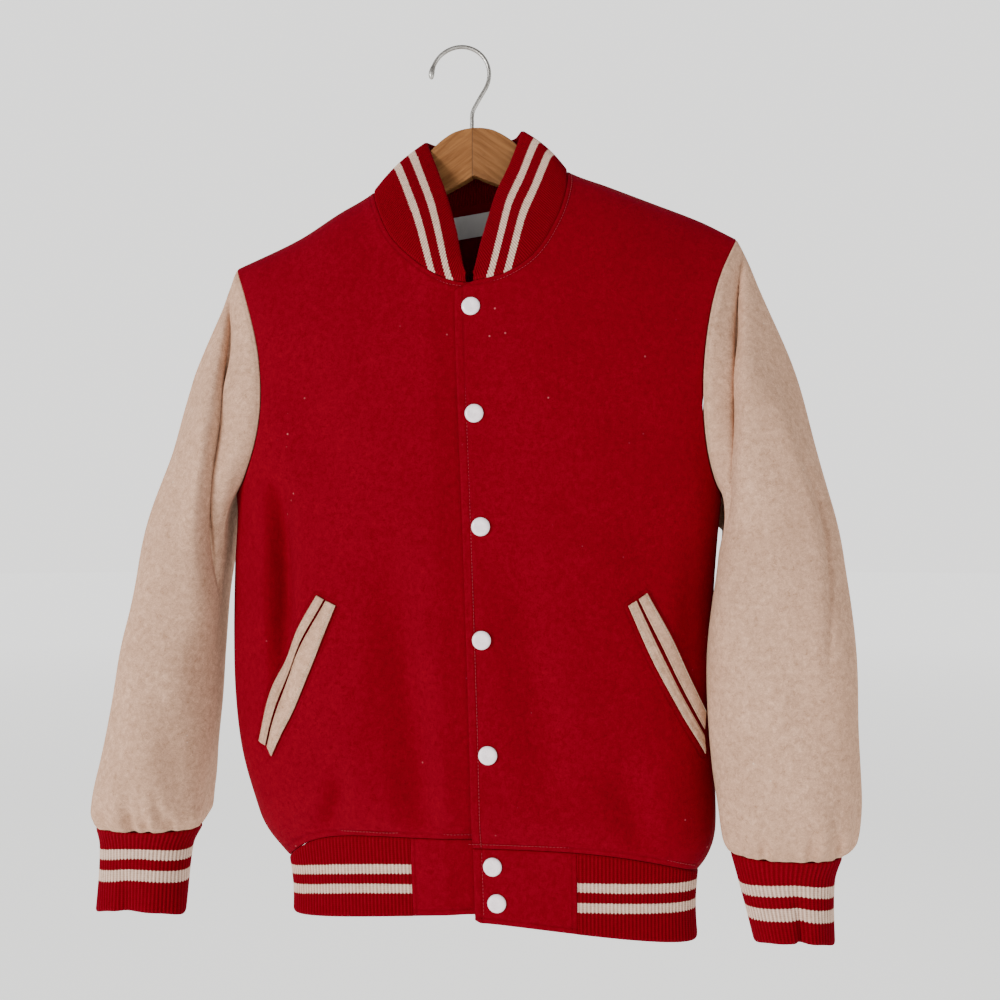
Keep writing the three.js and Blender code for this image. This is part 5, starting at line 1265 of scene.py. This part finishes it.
for point, at, size in zip(spline.points, line, ball):
    point.co = (*(at * MM), 1)
    point.radius = float(size)
hook = bpy.data.objects.new("hook_wire", wire)
bpy.context.scene.collection.objects.link(hook)
bpy.ops.object.select_all(action="DESELECT")
hook.select_set(True)
bpy.context.view_layer.objects.active = hook
bpy.ops.object.convert(target="MESH")
hook = bpy.context.object
bpy.ops.object.shade_smooth()
hook.data.materials.append(hook_steel)
sewn_in(hook, "hanger_hook")

# Light and floor
# A pale floor under the hanging jacket and a large soft light from the upper left.
bpy.ops.mesh.primitive_circle_add(vertices=96, radius=30, fill_type="NGON", location=(0, 0, -1.35))
floor = bpy.context.object
floor.name = "floor"
pale, tree, surface = material("floor_pale")
grain = node(tree, "ShaderNodeTexNoise", {"Scale": 3.0, "Detail": 3.0})
reach = node(tree, "ShaderNodeVectorMath", {0: node(tree, "ShaderNodeTexCoord").outputs["Object"]}, operation="LENGTH")
near = blend_colour(tree, grain.outputs["Fac"], (0.66, 0.66, 0.64, 1), (0.72, 0.72, 0.70, 1))
far = ramp(tree, reach.outputs["Value"], 1.0, 9.0)
tree.links.new(blend_colour(tree, far, near, (0.02, 0.02, 0.02, 1)), surface.inputs["Base Color"])
surface.inputs["Roughness"].default_value = 0.9
tree.links.new(calc(tree, "MULTIPLY_ADD", far, 0.87, 0.75), surface.inputs["Emission Strength"])
surface.inputs["Emission Color"].default_value = (1, 1, 0.99, 1)
floor.data.materials.append(pale)
for name, at, aim, size, power in (
        ("key", (-3.0, -3.2, 0.3), (0, 0, -0.45), 1.3, 215),
        ("fill", (1.7, -1.5, -0.4), (0, 0, -0.45), 1.6, 15),
        ("rim", (0.4, 1.8, 0.6), (0, 0, -0.4), 1.5, 14)):
    bpy.ops.object.light_add(type="AREA", location=at)
    lamp = bpy.context.object
    lamp.name = name
    lamp.data.size = size
    lamp.data.energy = power
    lamp.rotation_euler = (Vector(aim) - Vector(at)).to_track_quat("-Z", "Y").to_euler()
# the room is bright behind the jacket and dimmer before it
world = bpy.data.worlds.new("room")
world.use_nodes = True
tree = world.node_tree
way = node(tree, "ShaderNodeSeparateXYZ", {"Vector": node(tree, "ShaderNodeTexCoord").outputs["Generated"]})
tint = blend_colour(tree, ramp(tree, way.outputs["Y"], -0.1, 0.75), (0.36, 0.36, 0.36, 1), (1.68, 1.67, 1.65, 1))
tree.links.new(tint, tree.nodes["Background"].inputs["Color"])
tree.nodes["Background"].inputs["Strength"].default_value = 1.0
bpy.context.scene.world = world
